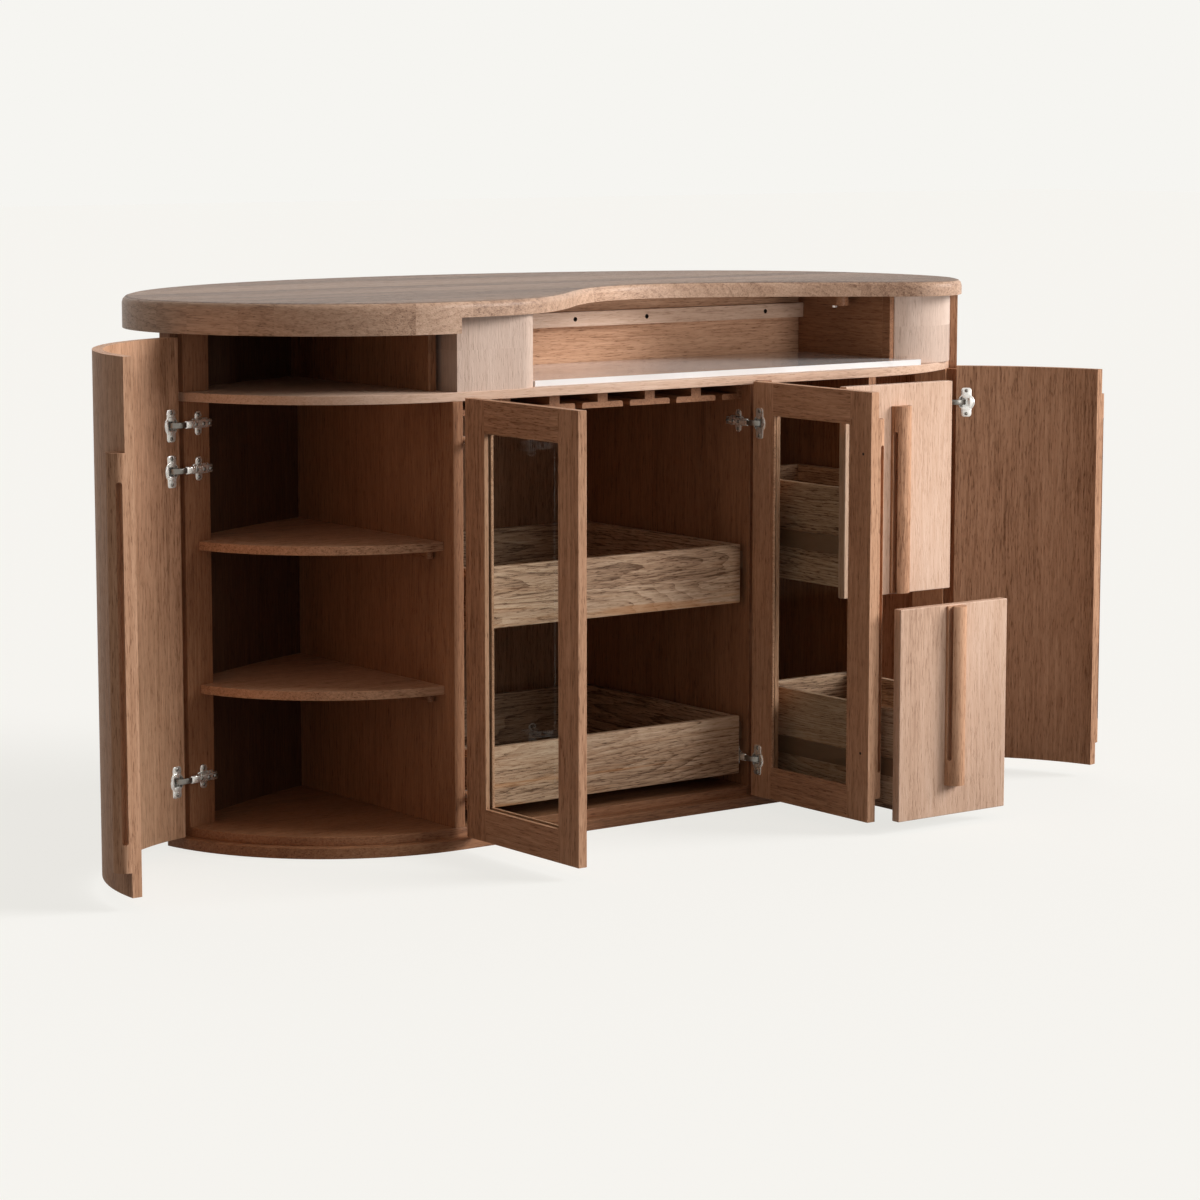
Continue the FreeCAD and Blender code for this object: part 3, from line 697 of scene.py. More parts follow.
class Finish(Enum):
    """Finishes of the counter."""

    CASE = WoodFinish("case_wood", srgb(180, 132, 98), srgb(152, 106, 76), srgb(98, 63, 42),
                      streaks=0.8, roughness=0.46, pitch=0.011)
    FRONT = WoodFinish("front_wood", srgb(210, 167, 137), srgb(186, 142, 112), srgb(128, 91, 68),
                       streaks=0.95, roughness=0.48, sheen=0.05)
    # Painted light: a lighter copy of the same wood, for the drawer fronts, the deck and the
    # niche's rail.
    PALE = WoodFinish("pale_wood", srgb(221, 191, 170), srgb(201, 166, 142), srgb(146, 110, 87),
                      streaks=0.58, roughness=0.44, tone=0.05)
    # Painted sheen: a paler, greyer copy of the wood on the pillars.
    PILLAR = WoodFinish("pillar_wood", srgb(222, 200, 185), srgb(203, 178, 162),
                        srgb(152, 125, 109), streaks=0.45, roughness=0.42)
    # Painted shade: a dark copy of the wood for the inner face of the back behind the left shelves.
    DARK = WoodFinish("dark_wood", srgb(108, 76, 56), srgb(82, 55, 39), srgb(50, 32, 22),
                      streaks=0.75, roughness=0.55, pitch=0.011)
    # Painted shade: a darker copy of the wood on the top's staves, which the lamps light more than
    # the sides.
    TOP = WoodFinish("top_wood", srgb(164, 137, 118), srgb(130, 105, 88), srgb(85, 65, 53),
                     streaks=1.0, roughness=0.5, rings=0.10, pitch=0.012, tone=0.16, sheen=0.1)
    # Painted light and sheen: a paler, greyer copy of the wood on the rim; its bent rings are the
    # blocks' own grain.
    RIM = WoodFinish("rim_wood", srgb(209, 176, 152), srgb(184, 150, 126), srgb(128, 97, 78),
                     streaks=0.9, roughness=0.42, rings=0.16, arch=8.0, straight=0.3, rise=0.03,
                     tone=0.07)
    TRAY = WoodFinish("tray_wood", srgb(216, 187, 160), srgb(184, 150, 122), srgb(104, 75, 55),
                      streaks=1.1, roughness=0.5, rings=0.30, arch=13.0, straight=0.1, rise=0.05,
                      tone=0.10, knots=0.5, sway=0.07)
    STONE = StoneFinish("white_stone", srgb(228, 229, 230), srgb(207, 205, 202),
                        srgb(160, 156, 152), roughness=0.1)
    NICKEL = MetalFinish("bright_nickel", srgb(246, 244, 240), srgb(216, 212, 206), roughness=0.28,
                         metal=0.75, brushing=Noise((400.0, 400.0, 40.0), weight=0.12))
    STEEL = MetalFinish("dark_steel", srgb(132, 128, 122), srgb(84, 79, 72), roughness=0.34,
                        metal=0.9, brushing=Noise((400.0, 400.0, 60.0), weight=0.12))
    BROWN = MetalFinish("brown_enamel", srgb(124, 94, 70), srgb(96, 70, 52), roughness=0.45,
                        metal=0.1, brushing=Noise((500.0, 12.0, 500.0), weight=0.12))
    GLASS = GlassFinish("clear_glass", tint=(0.90, 0.92, 0.91, 1.0), gloss=(0.95, 0.96, 0.95, 1.0),
                        polish=0.02)
    # Painted shade for the insides of holes and slots.
    HOLE = PaintedHoleShade("hole_dark", colour=(0.02, 0.012, 0.008, 1.0),
                      dust=(0.06, 0.035, 0.02, 1.0))

    @cache
    def material(self) -> bpy.types.Material:
        """The finish's material, made on first use."""
        return self.value.build()


def linked(name: str, data: Any) -> bpy.types.Object:
    """New object in the scene.

    Args:
        name: Name of the object.
        data: Its mesh, lamp or camera.

    Returns:
        The object.
    """
    made = bpy.data.objects.new(name, data)
    bpy.context.scene.collection.objects.link(made)
    return made


def grouped(shape: bmesh.types.BMesh) -> list[list[bmesh.types.BMFace]]:
    """Faces of each separate solid of a mesh.

    Args:
        shape: The mesh.

    Returns:
        A list of faces for each solid.
    """
    shape.faces.index_update()
    seen: set[int] = set()
    islands = []
    for start in shape.faces:
        if start.index in seen:
            continue
        stack, island = [start], []
        seen.add(start.index)
        while stack:
            face = stack.pop()
            island.append(face)
            for other in (o for edge in face.edges for o in edge.link_faces):
                if other.index not in seen:
                    seen.add(other.index)
                    stack.append(other)
        islands.append(island)
    return islands


def mark_sharp(shape: bmesh.types.BMesh, limit: float) -> None:
    """Mark the sharp edges of a mesh.

    Args:
        shape: The mesh.
        limit: Angle in degrees from which an edge is sharp.
    """
    shape.normal_update()
    for edge in shape.edges:
        edge.smooth = edge.calc_face_angle(math.pi) < math.radians(limit)


def eased(shape: bmesh.types.BMesh, edges: Sequence[bmesh.types.BMEdge], radius: float,
          segments: int = 2) -> Sequence[bmesh.types.BMFace]:
    """Ease edges of a mesh.

    Args:
        shape: The mesh.
        edges: Its edges that are eased.
        radius: Radius of the eased edges.
        segments: Steps in the eased edges.

    Returns:
        The new faces.
    """
    made = bmesh.ops.bevel(shape, geom=edges, offset=radius, segments=segments, profile=0.5,
                           affect="EDGES", clamp_overlap=True)
    return made["faces"]


@dataclass
class Cut:
    """Plane where boards meet. With a reach, only upright faces so near to its point are cut."""

    point: Vector
    normal: Vector
    reach: Optional[float] = None

    @classmethod
    def across(cls, axis: Axis, level: float) -> "Cut":
        """Plane square to an axis."""
        normal = Vector([1.0 if i == axis.value else 0.0 for i in range(3)])
        return cls(normal * level, normal)

    def make(self, shape: bmesh.types.BMesh) -> None:
        """Divide the faces of a mesh along the plane.

        Args:
            shape: The mesh.
        """
        faces = shape.faces[:]
        if self.reach is not None:
            faces = [face for face in faces if abs(face.normal.z) < UPRIGHT
                     and (face.calc_center_median() - self.point).length < self.reach]
        edges = {edge for face in faces for edge in face.edges}
        verts = {vert for face in faces for vert in face.verts}
        bmesh.ops.bisect_plane(shape, geom=[*verts, *edges, *faces], dist=SAME_CUT,
                               plane_co=self.point, plane_no=self.normal)


def cuts_across(axis: Axis, low: float, high: float, width: float) -> list[Cut]:
    """Evenly spaced cuts across an axis.

    Args:
        axis: Axis that the cuts are square to.
        low: Where the first board starts.
        high: Where the last board ends.
        width: Width of a board.

    Returns:
        The cuts between the boards.
    """
    return [Cut.across(axis, low + width * (i + 1)) for i in range(int((high - low) / width))]


def stacked(label: str, height: float) -> Sorter:
    """Sorter of a piece of two boards, one above the other.

    Args:
        label: Start of the boards' names.
        height: Where they meet.

    Returns:
        Names the board of a face.
    """
    return lambda place, normal: label + ("_high" if place.z > height else "_low")


@dataclass
class Plank:
    """Straight board between two corners."""

    name: str
    low: Vector
    high: Vector


@dataclass
class Board:
    """Piece of wood in place of a node of the frame, with eased edges and grain.

    Attributes:
        node: Node that the piece stands for, and copies unless it has planks.
        finish: Finish of the wood.
        axis: Direction of the grain.
        ease: Radius of the eased edges.
        segments: Steps in the eased edges.
        cuts: Where boards of the piece meet.
        planks: Straight boards that make up the piece.
        sort: Names the board of a face, from the face's middle and normal.
        axis_of: Direction of the grain in a named board.
        finish_of: Finish of a named board.
        glow_of: Share of golden streaks in a named board.
        seam: Height of the middle of the grain, where the edges stay sharp.
        core: Point that the grain of round boards goes round.
    """

    node: str
    finish: Finish
    axis: Axis = Axis.LONGEST
    ease: float = 0.0012
    segments: int = 2
    cuts: Sequence[Cut] = ()
    planks: Sequence[Plank] = ()
    sort: Optional[Sorter] = None
    axis_of: Optional[Callable[[str], Axis]] = None
    finish_of: Optional[Callable[[str], Finish]] = None
    glow_of: Optional[Callable[[str], float]] = None
    seam: Optional[float] = None
    core: Optional[Vector] = None

    def build(self, frame: dict[str, Any]) -> None:
        """Make the piece in place of its node.

        Args:
            frame: The loaded frame.
        """
        source = frame["nodes"][self.node]
        shape = self._joined() if self.planks else self._copied(source.data)
        self._ease(shape)
        for cut in self.cuts:
            cut.make(shape)
        finishes = self._lay_grain(shape)
        mark_sharp(shape, SHARP_ANGLE)
        for edge in shape.edges:
            if self._on_seam([vert.co for vert in edge.verts]):
                edge.smooth = False
        mesh = bpy.data.meshes.new(self.node + "_wood")
        shape.to_mesh(mesh)
        shape.free()
        for finish in finishes:
            mesh.materials.append(finish.material())
        piece = linked(self.node + "_wood", mesh)
        piece.modifiers.new("even_normals", "WEIGHTED_NORMAL").keep_sharp = True
        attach(piece, source["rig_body"])
        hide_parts(self.node)
        LOG.info("%s: %d faces", piece.name, len(mesh.polygons))

    @staticmethod
    def _copied(source: bpy.types.Mesh) -> bmesh.types.BMesh:
        """Copy of a node's mesh with its flat faces whole.

        Args:
            source: The node's mesh.

        Returns:
            The copy.
        """
        shape = bmesh.new()
        shape.from_mesh(source)
        bmesh.ops.remove_doubles(shape, verts=shape.verts, dist=SAME_CORNER)
        bmesh.ops.dissolve_limit(shape, angle_limit=math.radians(FLAT_ANGLE), verts=shape.verts,
                                 edges=shape.edges)
        return shape

    def _joined(self) -> bmesh.types.BMesh:
        """Join the planks, each as a solid of its own.

        Returns:
            The mesh.
        """
        shape = bmesh.new()
        for plank in self.planks:
            size, middle = plank.high - plank.low, (plank.low + plank.high) / 2
            bmesh.ops.create_cube(shape, size=1.0,
                                  matrix=Matrix.LocRotScale(middle, None, size))
        return shape

    def _ease(self, shape: bmesh.types.BMesh) -> None:
        """Ease the sharp edges, and mark the faces that this makes as worn.

        Args:
            shape: Mesh of the piece.
        """
        worn = shape.faces.layers.int.new("worn")
        sharp = [edge for edge in shape.edges
                 if edge.is_manifold and edge.calc_length() > SHORT_EDGE * self.ease
                 and edge.calc_face_angle(0.0) > math.radians(EASED_ANGLE)
                 and not self._on_seam([vert.co for vert in edge.verts])]
        for face in eased(shape, sharp, self.ease, self.segments):
            face[worn] = 1
        for face in shape.faces:
            face.smooth = True

    def _on_seam(self, ends: Iterable[Vector]) -> bool:
        """Whether an edge, by its ends, lies at the height that stays sharp."""
        return self.seam is not None and all(abs(end.z - self.seam) < SAME_LEVEL for end in ends)

    def _lay_grain(self, shape: bmesh.types.BMesh) -> list[Finish]:
        """Give each corner its place in its board, and each board its marks.

        Args:
            shape: Mesh of the piece.

        Returns:
            The finishes, in the order of the faces' material numbers.
        """
        grain = shape.loops.layers.float_vector.new("grain")
        marks = shape.loops.layers.float_vector.new("marks")
        worn = shape.faces.layers.int["worn"]
        finishes = [self.finish]
        for name, faces in self._boards(shape).items():
            points = [loop.vert.co for face in faces for loop in face.loops]
            low = Vector([min(p[i] for p in points) for i in range(3)])
            high = Vector([max(p[i] for p in points) for i in range(3)])
            size, middle = high - low, (low + high) / 2
            if self.seam is not None:
                middle.z = self.seam
            axis = self.axis_of(name) if self.axis_of else self.axis
            ahead, aside, deeper = GRAIN_SHIFT
            shift = (spread(name + "a") * ahead, (spread(name + "b") - 0.5) * aside,
                     spread(name + "c") * deeper)
            level = spread(name + "d") * 2 - 1
            glow = self.glow_of(name) if self.glow_of else 0.0
            finish = self.finish_of(name) if self.finish_of else self.finish
            if finish not in finishes:
                finishes.append(finish)
            for face in faces:
                face.material_index = finishes.index(finish)
                for loop in face.loops:
                    spot = self._spot(axis, loop.vert.co, middle, size)
                    loop[grain] = [value + offset for value, offset in zip(spot, shift)]
                    loop[marks] = (level, glow, face[worn])
        return finishes

    def _spot(self, axis: Axis, place: Vector, middle: Vector, size: Vector) -> Triple:
        """Place along, across and through a board.

        Args:
            axis: Direction of its grain.
            place: Place in the frame.
            middle: Middle of the board.
            size: Size of the board.

        Returns:
            The three distances.
        """
        if axis is Axis.ROUND:
            out = (place - self.core).to_2d()
            turn = math.atan2(out.y, out.x)
            return turn * (middle - self.core).to_2d().length, place.z - middle.z, out.length
        away = place - middle
        first = max(range(3), key=lambda i: size[i]) if axis is Axis.LONGEST else axis.value
        second, third = sorted((i for i in range(3) if i != first), key=lambda i: -size[i])
        return away[first], away[second], away[third]

    def _boards(self, shape: bmesh.types.BMesh) -> dict[str, list[bmesh.types.BMFace]]:
        """Faces of each board: one board for each separate solid, or as the sorter says.

        Args:
            shape: Mesh of the piece.

        Returns:
            The faces, by the name of their board.
        """
        boards: dict[str, list[bmesh.types.BMFace]] = {}
        names = [plank.name for plank in self.planks]
        for number, island in enumerate(grouped(shape)):
            label = f"{self.node}.{names[number] if names else number}"
            for face in island:
                name = self.sort(face.calc_center_median(), face.normal) if self.sort else label
                boards.setdefault(name, []).append(face)
        return boards


class Form:
    """Mesh of one small piece, put together from prisms and turned forms."""

    def __init__(self, name: str) -> None:
        """Start an empty piece.

        Args:
            name: Name of the piece.
        """
        self.name = name
        self.shape = bmesh.new()
        self.finishes: list[Finish] = []

    def prism(self, outline: Sequence[Pair], axis: Axis, low: float, high: float, finish: Finish,
              place: Matrix, ease: float = 0.0004) -> None:
        """Add a plate of a given outline.

        Args:
            outline: Corners in the two axes that are square to the plate's axis.
            axis: Axis through the plate.
            low: Where the plate starts on its axis.
            high: Where it ends.
            finish: Its finish.
            place: From these axes to the frame.
            ease: Radius of its eased edges.
        """
        part = bmesh.new()
        face = part.faces.new([part.verts.new(self._point(axis, pair, low)) for pair in outline])
        made = bmesh.ops.extrude_face_region(part, geom=[face])
        moved = [item for item in made["geom"] if isinstance(item, bmesh.types.BMVert)]
        bmesh.ops.translate(part, verts=moved, vec=self._point(axis, (0.0, 0.0), high - low))
        bmesh.ops.recalc_face_normals(part, faces=part.faces)
        eased(part, [edge for edge in part.edges
                     if edge.calc_face_angle(0.0) > math.radians(EASED_ANGLE)], ease)
        self._join(part, finish, place)

    def turned(self, profile: Sequence[Pair], axis: Axis, centre: Triple, finish: Finish,
               place: Matrix, steps: int) -> None:
        """Add a turned form.

        Args:
            profile: Radius and height of each step of its outline. A radius of 0 closes it.
            axis: Axis that it turns about.
            centre: Foot of its axis.
            finish: Its finish.
            place: From these axes to the frame.
            steps: Faces round it.
        """
        part = bmesh.new()
        rings = []
        for radius, height in profile:
            turns = [2 * math.pi * i / steps for i in range(steps if radius else 1)]
            pairs = [(radius * math.cos(turn), radius * math.sin(turn)) for turn in turns]
            rings.append([part.verts.new(self._point(axis, pair, height) + Vector(centre))
                          for pair in pairs])
        for one, two in zip(rings, rings[1:]):
            for i in range(steps):
                corners = [one[i % len(one)], one[(i + 1) % len(one)],
                           two[(i + 1) % len(two)], two[i % len(two)]]
                part.faces.new(list(dict.fromkeys(corners)))
        self._join(part, finish, place)

    @staticmethod
    def _point(axis: Axis, pair: Pair, depth: float) -> Vector:
        """Point from its place on an axis and on the other two.

        Args:
            axis: The axis.
            pair: Places on the other two axes, in order.
            depth: Place on the axis.

        Returns:
            The point.
        """
        values = list(pair)
        values.insert(axis.value, depth)
        return Vector(values)

    def _join(self, part: bmesh.types.BMesh, finish: Finish, place: Matrix) -> None:
        """Put a part in its place and add it to the piece.

        Args:
            part: Mesh of the part, which is used up.
            finish: Its finish.
            place: From its axes to the frame.
        """
        if finish not in self.finishes:
            self.finishes.append(finish)
        for face in part.faces:
            face.material_index = self.finishes.index(finish)
            face.smooth = True
        bmesh.ops.transform(part, matrix=place, verts=part.verts)
        bmesh.ops.recalc_face_normals(part, faces=part.faces)
        mesh = bpy.data.meshes.new("part")
        part.to_mesh(mesh)
        part.free()
        self.shape.from_mesh(mesh)
        bpy.data.meshes.remove(mesh)

    def build(self) -> bpy.types.Object:
        """Make the piece.

        Returns:
            The new piece.
        """
        mark_sharp(self.shape, SHARP_FORM_ANGLE)
        mesh = bpy.data.meshes.new(self.name)
        self.shape.to_mesh(mesh)
        self.shape.free()
        for finish in self.finishes:
            mesh.materials.append(finish.material())
        piece = linked(self.name, mesh)
        LOG.info("%s: %d faces", piece.name, len(mesh.polygons))
        return piece


def rounded(low: Pair, high: Pair, radius: float, steps: int = 5) -> list[Pair]:
    """Outline of a plate with rounded corners.

    Args:
        low: Lowest corner.
        high: Highest corner.
        radius: Radius of the corners.
        steps: Edges in each corner.

    Returns:
        The corners of the outline.
    """
    outline = []
    corners = ((high[0] - radius, high[1] - radius, 0), (low[0] + radius, high[1] - radius, 90),
               (low[0] + radius, low[1] + radius, 180), (high[0] - radius, low[1] + radius, 270))
    for x, y, start in corners:
        for i in range(steps + 1):
            turn = math.radians(start + 90 * i / steps)
            outline.append((x + radius * math.cos(turn), y + radius * math.sin(turn)))
    return outline


def dress(frame: dict[str, Any], nodes: Iterable[str], finish: Finish) -> None:
    """Put pieces of the same shape, with a finish, in place of nodes of the frame.

    Args:
        frame: The loaded frame.
        nodes: Names of the nodes.
        finish: Finish for all of them.
    """
    for node in nodes:
        source = frame["nodes"][node]
        piece = linked(node + "_" + finish.value.name, source.data.copy())
        piece.data.materials.clear()
        piece.data.materials.append(finish.material())
        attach(piece, source["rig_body"])
        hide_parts(node)
        LOG.info("%s: %s", node, finish.value.name)


def bearing(place: Vector, core: Vector) -> float:
    """Bearing of a place from a core point, in the plane of the floor."""
    return math.atan2(place.y - core.y, place.x - core.x)


@dataclass
class Rim:
    """Blocks round an outline, told apart by their bearing from a core point.

    Attributes:
        core: The core point.
        bearings: Bearings of the joints, in radians.
        joints: Points on the outline where blocks meet.
    """

    core: Vector
    bearings: list[float]
    joints: list[Vector]

    @classmethod
    def around(cls, mesh: bpy.types.Mesh, core: Vector, shortest: float, longest: float) -> "Rim":
        """Divide the lower outline of a slab into blocks.

        Args:
            mesh: The slab.
            core: Point inside it from which the whole outline can be seen.
            shortest: Length of the shortest block.
            longest: Length of the longest block.

        Returns:
            The blocks.
        """
        level = min(vert.co.z for vert in mesh.vertices)
        outline = [vert.co.copy() for vert in mesh.vertices if vert.co.z < level + SAME_LEVEL]
        outline.sort(key=lambda point: bearing(point, core))
        joints = [outline[0]]
        left = shortest
        for one, two in zip(outline, outline[1:]):
            way, at = two - one, 0.0
            while way.length - at > left:
                at += left
                joints.append(one + way.normalized() * at)
                left = shortest + (longest - shortest) * spread(f"joint{len(joints)}")
            left -= way.length - at
        return cls(core, [bearing(point, core) for point in joints], joints)

    def name(self, place: Vector) -> str:
        """Name of the block at a place."""
        return f"block{bisect_right(self.bearings, bearing(place, self.core))}"

    def cuts(self, reach: float) -> list[Cut]:
        """Cuts at the joints between the blocks.

        Args:
            reach: How far from its joint a cut goes.

        Returns:
            The cuts, square to the bearing.
        """
        ways = [point - self.core for point in self.joints]
        return [Cut(point, Vector((-way.y, way.x, 0.0)), reach)
                for point, way in zip(self.joints, ways)]


@dataclass
class CounterTop:
    """Kidney top of glued staves, with a rim and an apron of short blocks.

    Attributes:
        stave: Width of a stave.
        shortest: Length of the shortest block.
        longest: Length of the longest block.
        core: Point that the blocks lie round.
        reach: How far from its joint a cut between blocks goes.
        underside: Height where the top meets its apron.
        flat: Least upward share of the normal of a stave's face.
        ease: Radius of the top's edges.
        apron_ease: Radius of the apron's edges.
        segments: Steps in these edges.
    """

    stave: float = 0.098
    shortest: float = 0.06
    longest: float = 0.14
    core: Triple = (0.0, 0.3, 0.0)
    reach: float = 0.3
    underside: float = 1.058
    flat: float = 0.9
    ease: float = 0.0015
    apron_ease: float = 0.007
    segments: int = 3

    def build(self, frame: dict[str, Any]) -> None:
        """Make the top and its apron.

        Args:
            frame: The loaded frame.
        """
        low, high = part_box("counter_top")
        rim = Rim.around(frame["nodes"]["counter_top"].data, Vector(self.core), self.shortest,
                         self.longest)
        staves = cuts_across(Axis.Y, low.y, high.y, self.stave)

        def sort(place: Vector, normal: Vector) -> str:
            """Stave of a flat face, or block of a rim face.

            Args:
                place: Middle of the face.
                normal: Its normal.

            Returns:
                Name of the board.
            """
            if abs(normal.z) > self.flat:
                return f"stave{math.floor((place.y - low.y) / self.stave)}"
            return rim.name(place)

        def axis_of(name: str) -> Axis:
            """Staves run along the counter, blocks round its rim."""
            return Axis.X if name.startswith("stave") else Axis.ROUND

        def finish_of(name: str) -> Finish:
            """The staves take a darker copy of the wood: painted shade on the level top. The blocks
            take a paler, greyer copy: painted light and sheen on the rim.
            """
            return Finish.TOP if name.startswith("stave") else Finish.RIM

        for node, ease, cuts in (("counter_top", self.ease, staves),
                                 ("top_apron", self.apron_ease, [])):
            Board(node, Finish.TOP, Axis.X, ease, self.segments, cuts + rim.cuts(self.reach),
                  sort=sort, axis_of=axis_of, finish_of=finish_of, seam=self.underside,
                  core=rim.core).build(frame)


@dataclass
class Case:
    """Fixed boards of the cabinet, its niche and its shelves.

    Attributes:
        upright: Nodes with upright grain.
        level: Nodes with level grain.
        paler: Nodes with level grain in the fronts' wood, lighter than the case's: painted light on
            the shelves and the niche's back.
        small: Nodes whose boards have the grain along their length.
        pillars: Nodes of the niche's pillars.
        pillar_seam: Height of the joint in a pillar, as a share of its own height.
        corner: Width and depth of the strip in the niche's right corner.
        sheet: Width of a sheet of the back.
        hole_depth: Faces nearer than this to the rail's front or back aren't inside its holes.
        hole_x: Where the rail's holes are.
        hole_radius: Their radius.
    """

    upright: Sequence[str] = (
        "left_partition", "right_partition", "drawer_side_panel", "drawer_divider",
        "left_hinge_post", "left_upper_post", "right_hinge_post", "upper_left_partition")
    level: Sequence[str] = ("base_plinth", "floor_board")
    paler: Sequence[str] = ("lower_shelf", "upper_shelf", "niche_back_panel")
    small: Sequence[str] = ("niche_left_wall", "shelf_cleats", "top_cleats", "stemware_rack")
    pillars: Sequence[str] = ("right_pillar", "left_pillar")
    pillar_seam: float = 0.55
    corner: Pair = (0.012, 0.025)
    sheet: float = 0.31
    hole_depth: float = 0.0004
    hole_x: Sequence[float] = (0.077, 0.270, 0.603)
    hole_radius: float = 0.0056

    def build(self, frame: dict[str, Any]) -> None:
        """Make every fixed board.

        Args:
            frame: The loaded frame.
        """
        # The shelves and the niche's back take the fronts' lighter wood: painted light.
        for finish, axis, nodes in (
                (Finish.CASE, Axis.Z, self.upright), (Finish.CASE, Axis.X, self.level),
                (Finish.CASE, Axis.LONGEST, self.small), (Finish.FRONT, Axis.X, self.paler),
                # The deck takes the lighter copy of the wood: painted light.
                (Finish.PALE, Axis.X, ("mid_deck",))):
            for node in nodes:
                Board(node, finish, axis).build(frame)
        for node in self.pillars:
            self._pillar(frame, node)
        self._back(frame)
        self._rail(frame)
        self._wall(frame)
        dress(frame, ("stone_slab",), Finish.STONE)
        dress(frame, ("cleat_bolts",), Finish.NICKEL)
        dress(frame, ("tray_slides", "drawer_slides"), Finish.BROWN)

    def _pillar(self, frame: dict[str, Any], node: str) -> None:
        """Pillar of two blocks, in a paler, greyer copy of the wood: painted sheen.

        Args:
            frame: The loaded frame.
            node: Node of the pillar.
        """
        low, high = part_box(node)
        height = low.z + (high.z - low.z) * self.pillar_seam
        Board(node, Finish.PILLAR, Axis.Z, cuts=[Cut.across(Axis.Z, height)],
              sort=stacked(node, height)).build(frame)

    def _wall(self, frame: dict[str, Any]) -> None:
        """Right wall of the niche, with a strip that closes its corner with the pillar.

        Args:
            frame: The loaded frame.
        """
        low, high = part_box("niche_right_wall")
        width, depth = self.corner
        strip = Plank("strip", Vector((low.x, low.y - depth, low.z)),
                      Vector((low.x + width, low.y, high.z)))
        Board("niche_right_wall", Finish.CASE, Axis.Y,
              planks=[Plank("wall", low, high), strip]).build(frame)

    def _back(self, frame: dict[str, Any]) -> None:
        """Bowed back of upright sheets, with painted shade on its inner face behind the left
        shelves: a dark copy of the wood stands in for the shade there.

        Args:
            frame: The loaded frame.
        """
        low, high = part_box("back_panel")
        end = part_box("left_partition")[0].x

        def sort(place: Vector, normal: Vector) -> str:
            """Painted shade behind the left shelves, or sheet.

            Args:
                place: Middle of the face.
                normal: Its normal.

            Returns:
                Name of the board.
            """
            # The inner face behind the left shelves gets painted shade.
            if normal.y < 0 and place.x < end:
                return "lining"
            return f"sheet{math.floor((place.x - low.x) / self.sheet)}"

        cuts = cuts_across(Axis.X, low.x, high.x, self.sheet) + [Cut.across(Axis.X, end)]
        Board("back_panel", Finish.FRONT, Axis.Z, sort=sort, cuts=cuts,
              finish_of=lambda name: Finish.DARK if name == "lining" else Finish.FRONT).build(frame)

    def _rail(self, frame: dict[str, Any]) -> None:
        """Rail of the niche with blind holes, whose insides get painted shade.

        Args:
            frame: The loaded frame.
        """
        low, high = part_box("niche_back_rail")
        middle = (low.z + high.z) / 2

        def sort(place: Vector, normal: Vector) -> str:
            """Faces inside the holes, which get painted shade, and the rail.

            Args:
                place: Middle of the face.
                normal: Its normal.

            Returns:
                Name of the board.
            """
            near = any(math.hypot(place.x - x, place.z - middle) < self.hole_radius
                       for x in self.hole_x)
            inside = low.y + self.hole_depth < place.y < high.y - self.hole_depth
            return "hole" if near and inside else "rail"

        # The rail takes the lighter copy of the wood: painted light.
        Board("niche_back_rail", Finish.PALE, Axis.X, sort=sort,
              finish_of=lambda name: Finish.HOLE if name == "hole" else Finish.PALE).build(frame)


@dataclass
class Leaf:
    """Hinged door as its hinges see it: X runs along the shut door and Y into the cabinet.

    Attributes:
        body: Body of the door.
        cups: Node of its hinge cups.
        hung: Side that it is hinged at.
        angle: Turn of the shut door, in degrees.
        opening: How far it rests open, in degrees.
        heights: Heights of its hinges.
    """

    body: str
    cups: str
    hung: Side
    angle: float = 0.0
    opening: float = 90.0
    heights: Sequence[float] = (0.104, 0.814)

    def shut(self, frame: dict[str, Any]) -> Matrix:
        """From the door's own axes to the frame, with the door shut.

        Args:
            frame: The loaded frame.

        Returns:
            The matrix.
        """
        joints = frame["record"]["behaviour"]["joints"]
        pivot = next(joint["pos_m"] for joint in joints if joint["child"] == self.body)
        hand = MIRROR if self.hung is Side.RIGHT else Matrix.Identity(4)
        return Matrix.Translation(pivot) @ Matrix.Rotation(math.radians(self.angle), 4, "Z") @ hand

    def opened(self, frame: dict[str, Any]) -> Matrix:
        """From the door's own axes to the frame, with the door as it rests."""
        return self.shut(frame) @ self.swing()

    def swing(self) -> Matrix:
        """Turn of the opened door in its own axes."""
        return Matrix.Rotation(-math.radians(self.opening), 4, "Z")


@dataclass(frozen=True)
class Wing:
    """Plate along an arm: where it starts and ends, half its width, and its corners' radius."""

    low: float
    high: float
    half: float
    corner: float

    def outline(self, z: float) -> list[Pair]:
        """Corners of the plate at a height."""
        return rounded((self.low, z - self.half), (self.high, z + self.half), self.corner)


